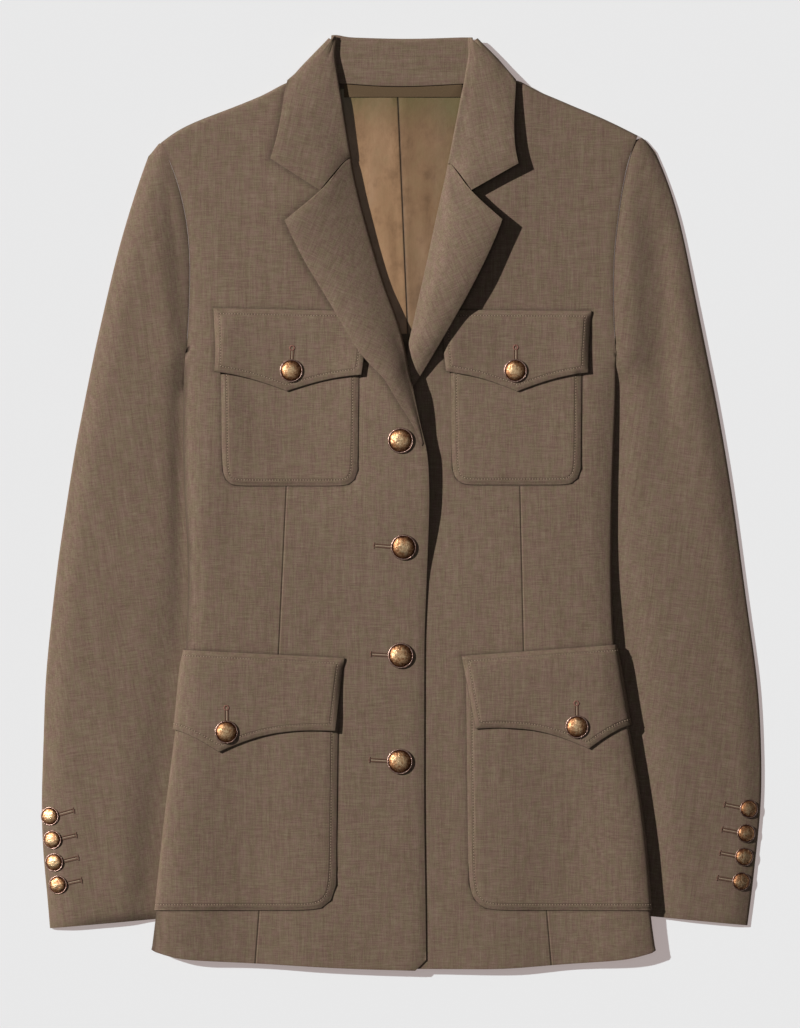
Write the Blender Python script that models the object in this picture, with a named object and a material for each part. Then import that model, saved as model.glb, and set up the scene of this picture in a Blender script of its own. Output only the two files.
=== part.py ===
"""Wool blazer with four patch pockets, buttoned up and laid flat on its back.

+Y runs from hem to collar and +Z up from the surface that it lies on. The origin is the centre of its
outline on that surface. Every length below is in millimetres. Right and left are the wearer's: the right
half is at -X, and its front laps over the left one.
"""

import math
from bisect import bisect_right
from collections import namedtuple

import bmesh
import bpy
from mathutils import Matrix, Vector

MM = 0.001
MERGE = 0.00001

# Cloth
GAP = 0.3
SIDE_SEAM = 0.9
BODY_WALL = 1.5
SLEEVE_WALL = 1.4
LAPEL_WALL = 1.8
COLLAR_WALL = 1.8
FLAP_WALL = 1.5
BAG_WALL = 1.3
LINING_WALL = 1.0
BAND_WALL = 0.6

# Heights of what the layers lie on
POCKET_GAP = 0.6
BAG_TOP = POCKET_GAP + BAG_WALL
FLAP_TOP = BAG_TOP + POCKET_GAP + FLAP_WALL
ROLL_RADIUS = 3.0
SLEEVE_HIGH = 6.5
SLEEVE_LOW = 3.2
SLEEVE_SLOPE = 26.0
UNDERARM = 114.0
LIFT_FLAT, LIFT_FADE = 25.0, 70.0
UNDER_FLAT, UNDER_FADE = 50.0, 40.0
NECK_LIFT, NECK_RISE = 2.1, 0.9
HEM_LEVEL = -350.0
HEM_FADE = 90.0

WOOL = (0.180, 0.122, 0.084)
SATIN = (0.246, 0.142, 0.075)
BAND = (0.087, 0.053, 0.030)
BRASS = (0.420, 0.200, 0.085)

Outline = namedtuple("Outline", "y x")
Line = namedtuple("Line", "x y")
Edge = namedtuple("Edge", "y x z inset wrap")
Lift = namedtuple("Lift", "y under top wrap")
Upper = namedtuple("Upper", "arm inner crown")
LapelRow = namedtuple("LapelRow", "roll x y lift")
LeafRow = namedtuple("LeafRow", "roll x y lift wrap turn")
BackRow = namedtuple("BackRow", "fold_x fold_y end_x end_y base_x base_y")
ArmRow = namedtuple("ArmRow", "y outer inner slant")
Fold = namedtuple("Fold", "x1 y1 x2 y2 width height")
Flap = namedtuple("Flap", "centre top slope half side point power taper")
Bag = namedtuple("Bag", "inner outer top bottom radius slant")
Half = namedtuple("Half", "name sign base side edge armhole shoulder hem lapel leaf arm "
                  "edge_flat edge_fade flap bag lower_flap lower_bag")

# How high the body's side lies over the sleeve and the wrapped pocket, underneath and on top, and how far the
# front wraps round to the side seam there
LIFTS = [Lift(*row) for row in (
    (-350, 7.3, 7.3, 60), (-105, 7.3, 7.3, 60), (-60, 4.8, 4.9, 58), (-25, 3.9, 4.0, 55), (20, 3.8, 3.6, 50),
    (60, 3.8, 2.8, 42), (90, 3.8, 2.0, 24), (99, 3.0, 1.6, 14), (108, 1.5, 1.2, 6), (114, 0.0, 1.0, 0),
    (150, 0.0, 0.3, 0), (185, 0.0, 0.0, 0),
)]

# Soft ridges and troughs of the upper layer, each along a line: height at its middle, fading over its width
FOLDS = [Fold(*row) for row in (
    (-186, 262, -172, 196, 13, -1.3), (-170, 190, -168, 120, 12, -1.5), (-158, 110, -156, -85, 15, 0.8),
    (187, 262, 196, 196, 14, -1.5), (197, 190, 199, 104, 14, -1.6), (-247, -70, -248, -290, 32, 1.0),
    (218, -60, 212, -290, 30, 1.3), (-204, 180, -226, 30, 24, 0.7), (-236, 20, -214, -64, 20, 0.6),
    (228, 150, 240, -10, 26, 0.7), (193, -22, 236, -58, 11, -0.7), (150, 96, 147, -80, 14, 0.6),
    (-60, -20, -120, -66, 16, 0.5), (66, -30, 118, -84, 18, 0.5), (-120, 180, -70, 236, 22, 0.5),
    (118, 190, 84, 246, 22, 0.5),
)]
SWELL = 0.35

# Rows of the front above the underarm: height at the armhole, height at the roll, share of the shoulder line
UPPERS = [Upper(*row) for row in (
    (124, 128, 0), (142, 142, 0), (170, 166, 0), (196, 190, 0.03), (219, 214, 0.1), (240, 236, 0.25),
    (258, 262, 0.45), (269, 292, 0.75),
)]
BODY_ROWS = (-350, -342, -320, -298, -265, -232, -200, -168, -136, -116, -100, -70, -35, 4, 34, 46, 58, 76,
             90, 99, 108, 114)
TOP_STATIONS = (0.0, 0.08, 0.18, 0.29, 0.41, 0.53, 0.65, 0.76, 0.87, 1.0)
WRAP_STATIONS = (1.0, 0.73, 0.37)
FOLD_ANGLES = (180, 135, 90, 45)
EDGE_ANGLES = (10, 14, 50, 90)
HIDDEN_STATIONS = (0.0,) * (len(WRAP_STATIONS) + len(FOLD_ANGLES))
HEM_STEP = 1.0
FLAP_CURL = 1.3
FLAP_ROWS = (0, 0.14, 0.4, 0.72, 1)
HIDDEN_BAG = 46.0

RIGHT = Half(
    name="right", sign=-1, base=6.6,
    side=[Outline(*row) for row in (
        (-350, -196), (-320, -192.5), (-275, -187.8), (-221, -181.6), (-175, -175.4), (-138, -172),
        (-113, -169.2), (-70, -167.8), (-33, -168), (4, -170.8), (50, -171.8), (79, -171.6), (114, -170.4))],
    edge=[Edge(*row) for row in (
        (-350, 9.5, 6.6, 0, 0), (-342, 17.9, 6.6, 0, 0), (-232, 16.4, 6.6, 0, 0), (-111, 16.6, 6.6, 0, 0),
        (-79, 17.7, 6.8, 0, 0), (-34, 19.5, 7.6, 0, 0), (-4, 20.9, 8.8, 0, 0), (28, 20.3, 9.6, 0, 0),
        (46, 17.2, 10.1, 0, 8), (58, 14.0, 10.5, 0, 12), (76, 10.2, 11.2, 0.3, 20), (90, 7.3, 12.0, 1.1, 28),
        (99, 5.6, 12.7, 3.8, 80), (108, 4.0, 13.0, 7, 120), (114, 2.8, 12.9, 8, 150),
        (128, -0.2, 11.2, 8, 180), (142, -4.0, 9.0, 7, 180), (166, -13.6, 7.3, 6.6, 180),
        (190, -20.9, 7.0, 6.6, 180), (236, -33.6, 7.0, 6.6, 180), (267.2, -40.1, 7.0, 6.6, 180),
        (292, -44.0, 7.0, 8.5, 180), (312, -47.2, 7.0, 10, 180), (338, -51.5, 7.0, 8.5, 180))],
    armhole=[Outline(*row) for row in (
        (114, -170.4), (126, -168.2), (163, -166.3), (186, -165.9), (211, -167.7), (234, -171.6),
        (260, -179.7), (279.6, -188.8))],
    shoulder=[Line(*row) for row in (
        (-188.8, 279.6), (-174, 290.6), (-162, 296), (-150, 300.7), (-127, 309.3), (-115, 313.9),
        (-104, 319), (-95, 322.6), (-85, 326.6), (-60, 338))],
    hem=[Line(*row) for row in (
        (-196, -349), (-188, -353), (-175, -356.4), (-115, -359.7), (-41, -363.9), (10, -365.4))],
    lapel=[LapelRow(*row) for row in (
        (267.2, -64.0, 241.7, 4.4), (258, -78, 230.4, 6.4), (247, -92.2, 218.8, 7.6), (236, -87.4, 208, 7.0),
        (214, -76.5, 186, 6.2), (190, -63, 164.5, 5.6), (166, -49.5, 142, 5.8), (142, -36, 118.2, 5.8),
        (128, -26.5, 107, 5.4), (114, -15.1, 96.3, 4.4), (108, -11.5, 90.5, 3.4), (99, -6.5, 81.5, 2.2),
        (90, -1.5, 73.6, 1.2), (76, 5.8, 62.8, 0.6), (58, 12.0, 51, 0.4), (46, 15.4, 43.5, 0.3))],
    leaf=[LeafRow(*row) for row in (
        (267.9, -102.5, 266.4, 5.2, 180, 0), (285, -98.0, 284, 4.4, 180, 0), (304, -94.6, 303, 3.0, 180, 0),
        (322, -92.4, 318, 1.6, 180, 0), (338, -90.2, 328.0, 0.9, 110, 0), (350, -71.8, 342.3, 0.6, 70, 150),
        (360, -58.2, 356.6, 0.6, 60, 150))],
    arm=[ArmRow(*row) for row in (
        (276, -191.5, 0, 0), (269, -198.6, 0, 0), (258, -202.8, 0, 0), (240, -208.9, 0, 0),
        (219, -215.4, 0, 0), (196, -222, 0, 0), (170, -228.4, 0, 0), (142, -234.8, 0, 0),
        (124, -238.9, 0, 0), (114, -241.0, 0, 0), (108, -242.2, 0, 0), (99, -244.1, 0, 0), (90, -245.9, 0, 0),
        (72, -249.5, 26, 0), (40, -255.9, 37, 0), (0, -262, 37, 0), (-45.6, -269.1, 36, 0),
        (-92, -274.2, 36, 0), (-139, -279.2, 37, 0), (-186, -280.1, 38, 0.01), (-233, -282.2, 38, 0.03),
        (-272, -281, 38, 0.06), (-304, -277.6, 38, 0.085), (-332.7, -275.3, 38, 0.088))],
    edge_flat=0, edge_fade=70,
    flap=Flap(-88.2, 149.8, -0.02, 59.5, 50, 64, 1.6, 2.0),
    bag=Bag(-33.8, -142.5, 139, 12, 12.5, 1.5),
    lower_flap=Flap(-138, -117, -0.051, 90, 57, 78, 2.7, 1.5),
    lower_bag=Bag(-50.0, None, -136, -318.4, 20, 2.2),
)

LEFT = Half(
    name="left", sign=1, base=6.2,
    side=[Outline(*row) for row in (
        (-350, 197), (-320, 193), (-266, 188.6), (-221, 182.6), (-175, 174.8), (-138, 168.6),
        (-114, 165), (-70, 163), (-25, 163), (35, 164.5), (79, 166), (114, 166.6))],
    edge=[Edge(*row) for row in (
        (-350, -22.6, 4.6, 0, 0), (0, -22.6, 4.6, 0, 0), (36, -21, 4.6, 0, 0), (58, -14.8, 4.6, 0, 8),
        (76, -9.2, 4.6, 0.3, 18), (90, -5, 4.8, 1.1, 28), (99, -2.3, 5.2, 3.8, 80), (108, 0.3, 5.8, 7, 120),
        (114, 2.0, 6.3, 8, 150), (128, 5.0, 6.9, 8, 180), (142, 8.1, 7.0, 7, 180), (166, 13.6, 7.0, 6.6, 180),
        (190, 18.9, 7.0, 6.6, 180), (218, 24.7, 7.0, 6.6, 180), (247.7, 31.4, 7.0, 6.6, 180),
        (262.5, 34.6, 7.0, 6.6, 180), (292, 39.5, 7.0, 9, 180), (318, 44.5, 7.0, 12, 180),
        (338, 49, 7.0, 11, 180))],
    armhole=[Outline(*row) for row in (
        (114, 166.6), (126, 165.3), (154, 163.8), (181, 163.8), (214, 166.8), (241, 170.5), (268, 176.3),
        (285.1, 183.1))],
    shoulder=[Line(*row) for row in (
        (183.1, 285.1), (177, 288.2), (165, 294.4), (153, 299.9), (130, 309.3), (118, 314.7), (107, 318.6),
        (95, 323.2), (84, 327), (60, 338))],
    hem=[Line(*row) for row in (
        (-22.6, -363.6), (13, -364.0), (80, -364.2), (115, -361), (152, -358.6), (178, -356.5), (190, -353.5),
        (197, -349.5))],
    lapel=[LapelRow(*row) for row in (
        (262.5, 52.6, 241.7, 6.0), (254, 65, 230.6, 7.4), (244, 77.3, 219.6, 9.2), (236, 75.4, 214, 8.9),
        (214, 69.1, 198.5, 8.2), (190, 59.5, 178.5, 7.2), (166, 48.5, 157.5, 6.2), (142, 36.5, 136.5, 5.4),
        (128, 28.5, 122.6, 4.4), (114, 18.5, 106, 2.4), (108, 14.5, 99.5, 1.6), (99, 8.5, 90, 0.9),
        (90, 3.5, 82, 0.5), (76, -5, 70, 0.3), (62, -12, 58, 0.3))],
    leaf=[LeafRow(*row) for row in (
        (263.2, 89.2, 262.5, 6.6, 180, 0), (280, 86.6, 277, 5.8, 180, 0), (300, 86.3, 300, 4.0, 180, 0),
        (320, 87.6, 317, 2.0, 180, 0), (337, 88.0, 328.6, 0.9, 110, 0), (349, 71.8, 342.6, 0.6, 70, 150),
        (359.4, 58.4, 356.8, 0.6, 60, 150))],
    arm=[ArmRow(*row) for row in (
        (281, 187.3, 0, 0), (272, 197.0, 0, 0), (258, 203.2, 0, 0), (240, 209.8, 0, 0), (219, 215.8, 0, 0),
        (196, 221, 0, 0), (170, 226, 0, 0), (142, 231.6, 0, 0), (124, 235.2, 0, 0), (114, 237.2, 0, 0),
        (108, 238.4, 0, 0), (99, 240.2, 0, 0), (90, 242, 0, 0), (72, 245.5, 26, 0), (40, 251.2, 37, 0),
        (0, 257.6, 37, 0), (-45.6, 263.6, 36, 0), (-92, 269.7, 36, 0), (-139, 276.9, 37, 0),
        (-186, 279.4, 38, 0.01), (-233, 280, 38, 0.03), (-272, 275.6, 38, 0.06), (-302, 272.4, 38, 0.085),
        (-330.4, 268.6, 38, 0.094))],
    edge_flat=42, edge_fade=40,
    flap=Flap(88.2, 149.2, -0.007, 58.6, 48.5, 63.6, 1.6, 3.0),
    bag=Bag(36.4, 139.8, 139, 12.8, 13, 1.5),
    lower_flap=Flap(136, -113.7, 0.072, 87, 57, 78.8, 2.7, 1.5),
    lower_bag=Bag(49.0, None, -136, -318.2, 20, 2.2),
)
HALVES = (RIGHT, LEFT)

# Rows of the back above the underarm: height at the armholes and share of the shoulder and neck line
BACK_UPPERS = ((124, 0), (142, 0), (170, 0), (196, 0.03), (219, 0.08), (240, 0.18), (258, 0.3), (269, 0.84))
NECK_CURVE = [Line(*row) for row in (
    (-57, 338), (-46, 330), (-25, 324), (0, 322.8), (25, 324), (46, 330), (57, 338))]
NECK_WIDTH = 57.0
NECK_FLAT = 93.0
NECK_RAMP = (270.0, 303.0)

# The collar behind the neck, from the right shoulder to the left one: where it folds over, where its fall
# ends underneath, and where its stand meets the lining
COLLAR_BACK = [BackRow(*row) for row in (
    (-56.0, 361.2, -88.4, 327.0, -52.5, 325.8), (-49.0, 362.4, -66.0, 313.0, -44.2, 325.7),
    (-27.0, 361.6, -34.0, 308.4, -25.0, 324.0), (0.0, 360.8, 0.0, 307.0, 0.0, 323.2),
    (27.0, 361.4, 34.0, 308.4, 25.0, 324.2), (47.0, 362.3, 64.0, 313.0, 46.0, 325.5),
    (54.4, 361.6, 86.0, 327.4, 53.0, 325.6))]
STAND_LOW, STAND_HIGH = 6.3, 7.5
COLLAR_ROLL_RADIUS = 2.3
COLLAR_TURN_RADIUS = 3.4
GORGE_GAP = 0.7
GORGE_SHARE = 0.6
CROSS_STATIONS = (0.25, 0.5, 0.75, 1.0)

# Buttons: a domed cap with a thin rim on a short shank
FRONT_BUTTON, POCKET_BUTTON, CUFF_BUTTON = 20.0, 18.0, 14.6
BUTTON_HEIGHT = 0.36
BUTTON_SIDES = 12
SHANK = 0.35
FRONT_BUTTONS = [Line(*row) for row in ((-1.8, 47.4), (0.5, -35.6), (-1.8, -120.0), (-2.4, -202.4))]
POCKET_BUTTONS = [Line(*row) for row in ((-87.0, 101.8), (-137.4, -179.3), (87.6, 101.8), (135.3, -175.3))]
CUFF_BUTTONS = {
    "right": [Line(*row) for row in (
        (-274.6, -245.3), (-272.6, -263.6), (-271.2, -281.2), (-268.3, -298.7))],
    "left": [Line(*row) for row in (
        (268.9, -239.5), (266.8, -258.6), (265.2, -276.9), (263.0, -296.0))],
}
CUFF_TILT = math.radians(8)


def ease(share):
    """A smooth step from 0 to 1."""
    share = min(max(share, 0.0), 1.0)
    return share * share * (3 - 2 * share)


def fade(distance, flat, length):
    """1 as far as flat, then smoothly down to 0 over length."""
    return 1 - ease((distance - flat) / length)


def mix(a, b, share):
    return a + (b - a) * share


def read(rows, column, at, by="y"):
    """The column's value at a place in column by, on a smooth curve through the rows without overshoot."""
    rows = sorted(rows, key=lambda row: getattr(row, by))
    places = [getattr(row, by) for row in rows]
    values = [getattr(row, column) for row in rows]
    if at <= places[0]:
        return values[0]
    if at >= places[-1]:
        return values[-1]
    i = bisect_right(places, at) - 1
    slopes = [(b - a) / (q - p) for a, b, p, q in zip(values, values[1:], places, places[1:])]
    slopes = [slopes[0]] + slopes + [slopes[-1]]

    def tangent(k):
        before, after = slopes[k], slopes[k + 1]
        return 0.0 if before * after <= 0 else 2 * before * after / (before + after)

    width = places[i + 1] - places[i]
    t = (at - places[i]) / width
    return (values[i] * (1 + 2 * t) * (1 - t) ** 2 + values[i + 1] * t * t * (3 - 2 * t)
            + width * (tangent(i) * t * (1 - t) ** 2 - tangent(i + 1) * t * t * (1 - t)))


def clear_scene():
    for item in list(bpy.data.objects):
        bpy.data.objects.remove(item, do_unlink=True)


def finish(name, colour, roughness, metallic=0.0):
    """A plain finish in one colour."""
    material = bpy.data.materials.new(name)
    material.use_nodes = True
    shader = material.node_tree.nodes["Principled BSDF"]
    shader.inputs["Base Color"].default_value = (*colour, 1)
    shader.inputs["Roughness"].default_value = roughness
    shader.inputs["Metallic"].default_value = metallic
    return material


def add_object(name, bm, material):
    mesh = bpy.data.meshes.new(name)
    bm.to_mesh(mesh)
    bm.free()
    mesh.materials.append(material)
    mesh.shade_smooth()
    mesh.set_sharp_from_angle(angle=math.radians(50))
    item = bpy.data.objects.new(name, mesh)
    bpy.context.scene.collection.objects.link(item)
    return item


def sheet(name, rows, wall, material, face_up=True):
    """A wall of cloth whose right side runs through the rows of points; points that meet are joined."""
    bm = bmesh.new()
    grid = [[bm.verts.new(Vector(point) * MM) for point in row] for row in rows]
    for low, high in zip(grid, grid[1:]):
        for a, b, c, d in zip(low, low[1:], high[1:], high):
            bm.faces.new((a, b, c, d))
    bmesh.ops.remove_doubles(bm, verts=bm.verts, dist=MERGE)
    bm.normal_update()
    upward = sum(face.normal.z * face.calc_area() for face in bm.faces)
    if (upward > 0) != face_up:
        bmesh.ops.reverse_faces(bm, faces=bm.faces)
    item = add_object(name, bm, material)
    solid = item.modifiers.new("Wall", "SOLIDIFY")
    solid.thickness = wall * MM
    solid.offset = -1
    solid.use_even_offset = True
    solid.use_quality_normals = True
    return item


# Surfaces of the body


def inward(half):
    return -half.sign


def side_distance(half, x, y):
    """Distance from the half's side fold, inwards."""
    return (x - read(half.side, "x", y)) * inward(half)


def neck_share(x, y):
    """How far a place is up the ramp onto the collar underneath."""
    low, high = NECK_RAMP
    return min(max((y - low) / (high - low), 0), 1) * fade(abs(x), NECK_FLAT, 26)


def underside(x, y):
    """Height of the body's lower face: up over the sleeves and pockets at the sides, and over the collar."""
    half = RIGHT if x < 0 else LEFT
    sides = read(LIFTS, "under", y) * fade(side_distance(half, x, y), UNDER_FLAT, UNDER_FADE)
    return sides + NECK_LIFT * neck_share(x, y)


def fold_height(x, y):
    """The soft folds and the slight unevenness of cloth that lies loose, at a place on the upper layer."""
    total = SWELL * (1 + math.sin(x / 34 + y / 61) * math.cos(y / 47 - x / 90)) / 2
    for fold in FOLDS:
        along_x, along_y = fold.x2 - fold.x1, fold.y2 - fold.y1
        share = ((x - fold.x1) * along_x + (y - fold.y1) * along_y) / (along_x ** 2 + along_y ** 2)
        share = min(max(share, 0), 1)
        distance = math.hypot(x - fold.x1 - share * along_x, y - fold.y1 - share * along_y)
        total += fold.height * math.exp(-((distance / fold.width) ** 2))
    return total


def front_top(half, x, y):
    """Height of a front's right side."""
    lift = read(LIFTS, "top", y) * fade(side_distance(half, x, y), LIFT_FLAT, LIFT_FADE)
    lift += NECK_RISE * neck_share(x, y)
    edge_x = read(half.edge, "x", y)
    edge_z = read(half.edge, "z", y)
    from_edge = (edge_x - x) * inward(half)
    lift += fold_height(x, y) * (ease(side_distance(half, x, y) / 9) if y < UNDERARM else 1.0)
    return half.base + lift + (edge_z - half.base) * fade(from_edge, half.edge_flat, half.edge_fade)


def fold_radius(half, y):
    return (half.base + read(LIFTS, "top", y) - read(LIFTS, "under", y)) / 2


def body_point(half, s, y, out=0.0):
    """A point out mm off the front's right side; s runs inwards from the side fold, and round it below 0."""
    side = read(half.side, "x", y)
    under = read(LIFTS, "under", y)
    radius = fold_radius(half, y)
    turn = math.pi * radius
    if s >= 0:
        x = side + inward(half) * (radius + s)
        return x, y, front_top(half, x, y) + out
    if s > -turn:
        angle = -s / radius
        x = side + inward(half) * (radius - (radius + out) * math.sin(angle))
        return x, y, under + radius + (radius + out) * math.cos(angle)
    x = side + inward(half) * (radius - s - turn)
    return x, y, underside(x, y) - out


def fold_stations(half, y):
    return [-math.radians(angle) * fold_radius(half, y) for angle in FOLD_ANGLES]


def hem_drop(half, x, y):
    """The shape of the hem, fading out of the rows above it."""
    return (read(half.hem, "y", x, "x") - HEM_LEVEL) * fade(y - HEM_LEVEL, 0, HEM_FADE)


def front_edge(half, y):
    return read(half.edge, "x", y) + half.sign * read(half.edge, "inset", y)


def top_stations(half, y):
    """Places across the top of the front, from the side fold to the front edge."""
    width = side_distance(half, front_edge(half, y), y) - fold_radius(half, y)
    return [width * part for part in TOP_STATIONS]


def body_row(half, y):
    """A row of the front below the underarm, from the side seam round the fold to the front edge."""
    wrap = read(LIFTS, "wrap", y)
    share = min(wrap / 6, 1.0)
    stations = [-math.pi * fold_radius(half, y) * share - wrap * part for part in WRAP_STATIONS]
    stations += [s * share for s in fold_stations(half, y)] + top_stations(half, y)
    points = []
    for s in stations:
        x, _, z = body_point(half, s, y)
        points.append((x, y + hem_drop(half, x, y), z))
    return points


def shoulder_line(half, x):
    return read(half.shoulder, "y", x, "x")


def upper_row(half, upper):
    """A row above the underarm, from the armhole seam to the roll line."""
    arm_x = read(half.armhole, "x", upper.arm) + inward(half) * GAP / 2
    inner_x = front_edge(half, upper.inner)
    points = []
    for part in HIDDEN_STATIONS + TOP_STATIONS:
        x = mix(arm_x, inner_x, part)
        chord = mix(shoulder_line(half, arm_x), shoulder_line(half, inner_x), part)
        y = mix(upper.arm, upper.inner, part) + upper.crown * (shoulder_line(half, x) - chord)
        points.append((x, y, front_top(half, x, y)))
    return points


def armhole_end(half, depth):
    """The armhole seam's place depth mm below the shoulder fold."""
    x = half.armhole[-1].x
    for _ in range(4):
        x = read(half.armhole, "x", shoulder_line(half, x) - depth)
    return x + inward(half) * GAP / 2


def shoulder_row(half, angle):
    """A row of the front on the shoulder's round fold, which both layers turn into."""
    depth = half.base / 2 * (1 - math.cos(math.radians(angle)))
    points = []
    for part in HIDDEN_STATIONS + TOP_STATIONS:
        x = mix(armhole_end(half, depth), half.shoulder[-1].x, part)
        y = shoulder_line(half, x) - depth
        high, low = front_top(half, x, y), underside(x, y)
        points.append((x, y, mix((high + low) / 2, high, math.sin(math.radians(angle)))))
    return points


def add_front(half, wool):
    rows = [body_row(half, y) for y in BODY_ROWS]
    rows += [upper_row(half, upper) for upper in UPPERS]
    rows += [shoulder_row(half, angle) for angle in reversed(EDGE_ANGLES)]
    sheet(f"front_{half.name}", rows, BODY_WALL, wool)


# Back


def back_limit(half, y):
    """Where the back ends at a height: at the side seam, or at the armhole."""
    if y >= UNDERARM:
        return read(half.armhole, "x", y) + inward(half) * GAP / 2
    reach = fold_radius(half, y) + read(LIFTS, "wrap", y) + SIDE_SEAM
    return read(half.side, "x", y) + inward(half) * reach


def back_top(x):
    """Shoulder and neck line of the back."""
    if abs(x) < NECK_WIDTH:
        return read(NECK_CURVE, "y", x, "x")
    return shoulder_line(RIGHT if x < 0 else LEFT, x)


def back_stations(right, left):
    """Places across the back, closer together where it comes down from the side seams."""
    points = [mix(right, -NECK_FLAT, part) for part in (0, 0.3, 0.65)]
    points += [-NECK_FLAT, -NECK_WIDTH, -24, 24, NECK_WIDTH, NECK_FLAT]
    return points + [mix(NECK_FLAT, left, part) for part in (0.35, 0.7, 1)]


def back_row(y, crown=0.0):
    right, left = (back_limit(half, y) for half in HALVES)
    points = []
    for x in back_stations(right, left):
        ends = mix(back_top(right), back_top(left), (x - right) / (left - right))
        height = y + crown * (back_top(x) - ends)
        if y == HEM_LEVEL:
            height += HEM_STEP
        height += hem_drop(RIGHT if x < 0 else LEFT, x, y)
        points.append((x, height, underside(x, height)))
    return points


def back_shoulder_row(angle):
    """A row of the back on the shoulder's round fold; between the shoulders it follows the neck."""
    depth = RIGHT.base / 2 * (1 - math.cos(math.radians(angle)))
    right, left = (armhole_end(half, depth) for half in HALVES)
    points = []
    for x in back_stations(right, left):
        y = back_top(x) - depth
        low = underside(x, y)
        turn = 0.0
        if abs(x) >= NECK_WIDTH:
            high = front_top(RIGHT if x < 0 else LEFT, x, y)
            turn = (high - low) / 2 * (1 - math.sin(math.radians(angle)))
        points.append((x, y, low + turn))
    return points


def add_back(wool):
    rows = [back_row(y) for y in BODY_ROWS]
    rows += [back_row(y, crown) for y, crown in BACK_UPPERS]
    rows += [back_shoulder_row(angle) for angle in reversed(EDGE_ANGLES)]
    sheet("back", rows, BODY_WALL, wool, face_up=False)


# Sleeves


def sleeve_low(half, y):
    """Height of the sleeve at the body's side: level with the front at the armhole, pressed flat below."""
    seam = front_top(half, read(half.armhole, "x", max(y, UNDERARM)), max(y, UNDERARM))
    return mix(SLEEVE_LOW, seam, ease((y - 92) / 22))


def sleeve_row(half, row, upper):
    """A row of one side of a sleeve, from the seam on its outer fold to the one under the body."""
    sign = half.sign
    if row.y >= UNDERARM:
        visible = read(half.armhole, "x", row.y) + sign * GAP / 2
    else:
        visible = read(half.side, "x", row.y) + sign * 0.5
    middle = SLEEVE_HIGH / 2
    reach = min(middle, (row.outer - visible) * sign / 3)
    flat_start = row.outer - sign * reach
    turns = [math.radians(angle) for angle in EDGE_ANGLES]
    stations = [(row.outer - sign * reach * (1 - math.cos(turn)), math.sin(turn)) for turn in turns]
    stations += [(mix(flat_start, visible, part), 1.0) for part in (0.2, 0.4, 0.58, 0.74, 0.88, 1.0)]
    stations.append((visible - sign * row.inner, 1.0))
    points = []
    for x, turned in stations:
        slope = ease(((x - visible) * sign - 2) / SLEEVE_SLOPE)
        top = mix(sleeve_low(half, row.y), SLEEVE_HIGH + fold_height(x, row.y), slope)
        height = mix(middle, top, turned) if upper else mix(middle, 0.0, turned)
        points.append((x, row.y + row.slant * (row.outer - x) * sign, height))
    return points


def add_sleeves(half, wool):
    for name, upper in (("upper", True), ("under", False)):
        rows = [sleeve_row(half, row, upper) for row in half.arm]
        sheet(f"sleeve_{half.name}_{name}", rows, SLEEVE_WALL, wool, face_up=upper)


# Lapels and collar


def roll_arc(half, x, y, top, wrap, radius, tuck):
    """Points round a rolled edge, from its end under the roll to its top."""
    centre_x = x + half.sign * radius * math.sin(math.radians(min(wrap, 90)))
    centre_z = top - radius
    points = []
    for part in (1, 0.75, 0.5, 0.25, 0):
        angle = math.radians(wrap * part)
        x = centre_x - half.sign * radius * math.sin(angle)
        points.append((x, y, centre_z + radius * math.cos(angle)))
    end_x, _, end_z = points[0]
    reach = tuck if wrap > 150 else 0.0
    return [(end_x + half.sign * reach, y, end_z)] + points


def lapel_top(half, x, y, lift):
    """Height of what lies over a front, lifted off it."""
    return front_top(half, x, y) + LAPEL_WALL + POCKET_GAP + lift


def lapel_point(half, row, start, share):
    """A point across the lapel, from the top of its roll to its outer edge."""
    x = mix(start[0], row.x, share)
    y = mix(start[1], row.y, share)
    bulge = 1.1 * math.sin(math.pi * share) * ease(row.lift / 3)
    return x, y, lapel_top(half, x, y, row.lift * math.sin(math.pi / 2 * share) + bulge)


def lapel_roll(half, row):
    top = read(half.edge, "z", row.roll) + ROLL_RADIUS - BODY_WALL / 2
    wrap = read(half.edge, "wrap", row.roll)
    return roll_arc(half, read(half.edge, "x", row.roll), row.roll, top, wrap, ROLL_RADIUS, 4.5)


def add_lapel(half, wool):
    rows = []
    for row in half.lapel:
        points = lapel_roll(half, row)
        start = points[-1]
        rows.append(points + [lapel_point(half, row, start, share) for share in CROSS_STATIONS])
    sheet(f"lapel_{half.name}", rows, LAPEL_WALL, wool)


def leaf_roll_top(y):
    """Height of the collar's rolled edge, which climbs over the stand at the neck."""
    return mix(9.3, 12.6, ease((y - 262) / 60)) - 2.8 * ease((y - 328) / 32)


def collar_roll(half, y):
    """Roll line of the collar, from the gorge to the corner of the neck."""
    low, high = half.leaf[0].roll, half.leaf[-1].roll
    corner = half.sign * (abs(COLLAR_BACK[0 if half.sign < 0 else -1].fold_x) - 1.1)
    return mix(read(half.edge, "x", low), corner, (y - low) / (high - low))


def leaf_front_row(half):
    """The collar's front edge: along the gorge seam beside the lapel, then along the notch to its tip."""
    row = half.leaf[0]
    start = lapel_roll(half, half.lapel[0])[-1]
    points = [lapel_point(half, half.lapel[0], start, share) for share in CROSS_STATIONS]
    corner = points[-1]
    tip = (row.x, row.y, lapel_top(half, row.x, row.y, row.lift))
    points += [tuple(mix(a, b, share) for a, b in zip(corner, tip)) for share in (0.5, 1.0)]
    return [(x + half.sign * GORGE_GAP, y + GORGE_GAP, z) for x, y, z in points]


def leaf_row(half, row, top, start):
    end = lapel_top(half, row.x, row.y, row.lift)
    points = []
    for share in [GORGE_SHARE * station for station in CROSS_STATIONS] + [0.8, 1.0]:
        bulge = 0.9 * math.sin(math.pi * share)
        x, y = mix(start[0], row.x, share), mix(start[1], row.y, share)
        points.append((x, y, mix(top, end, share) + bulge))
    return points


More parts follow.
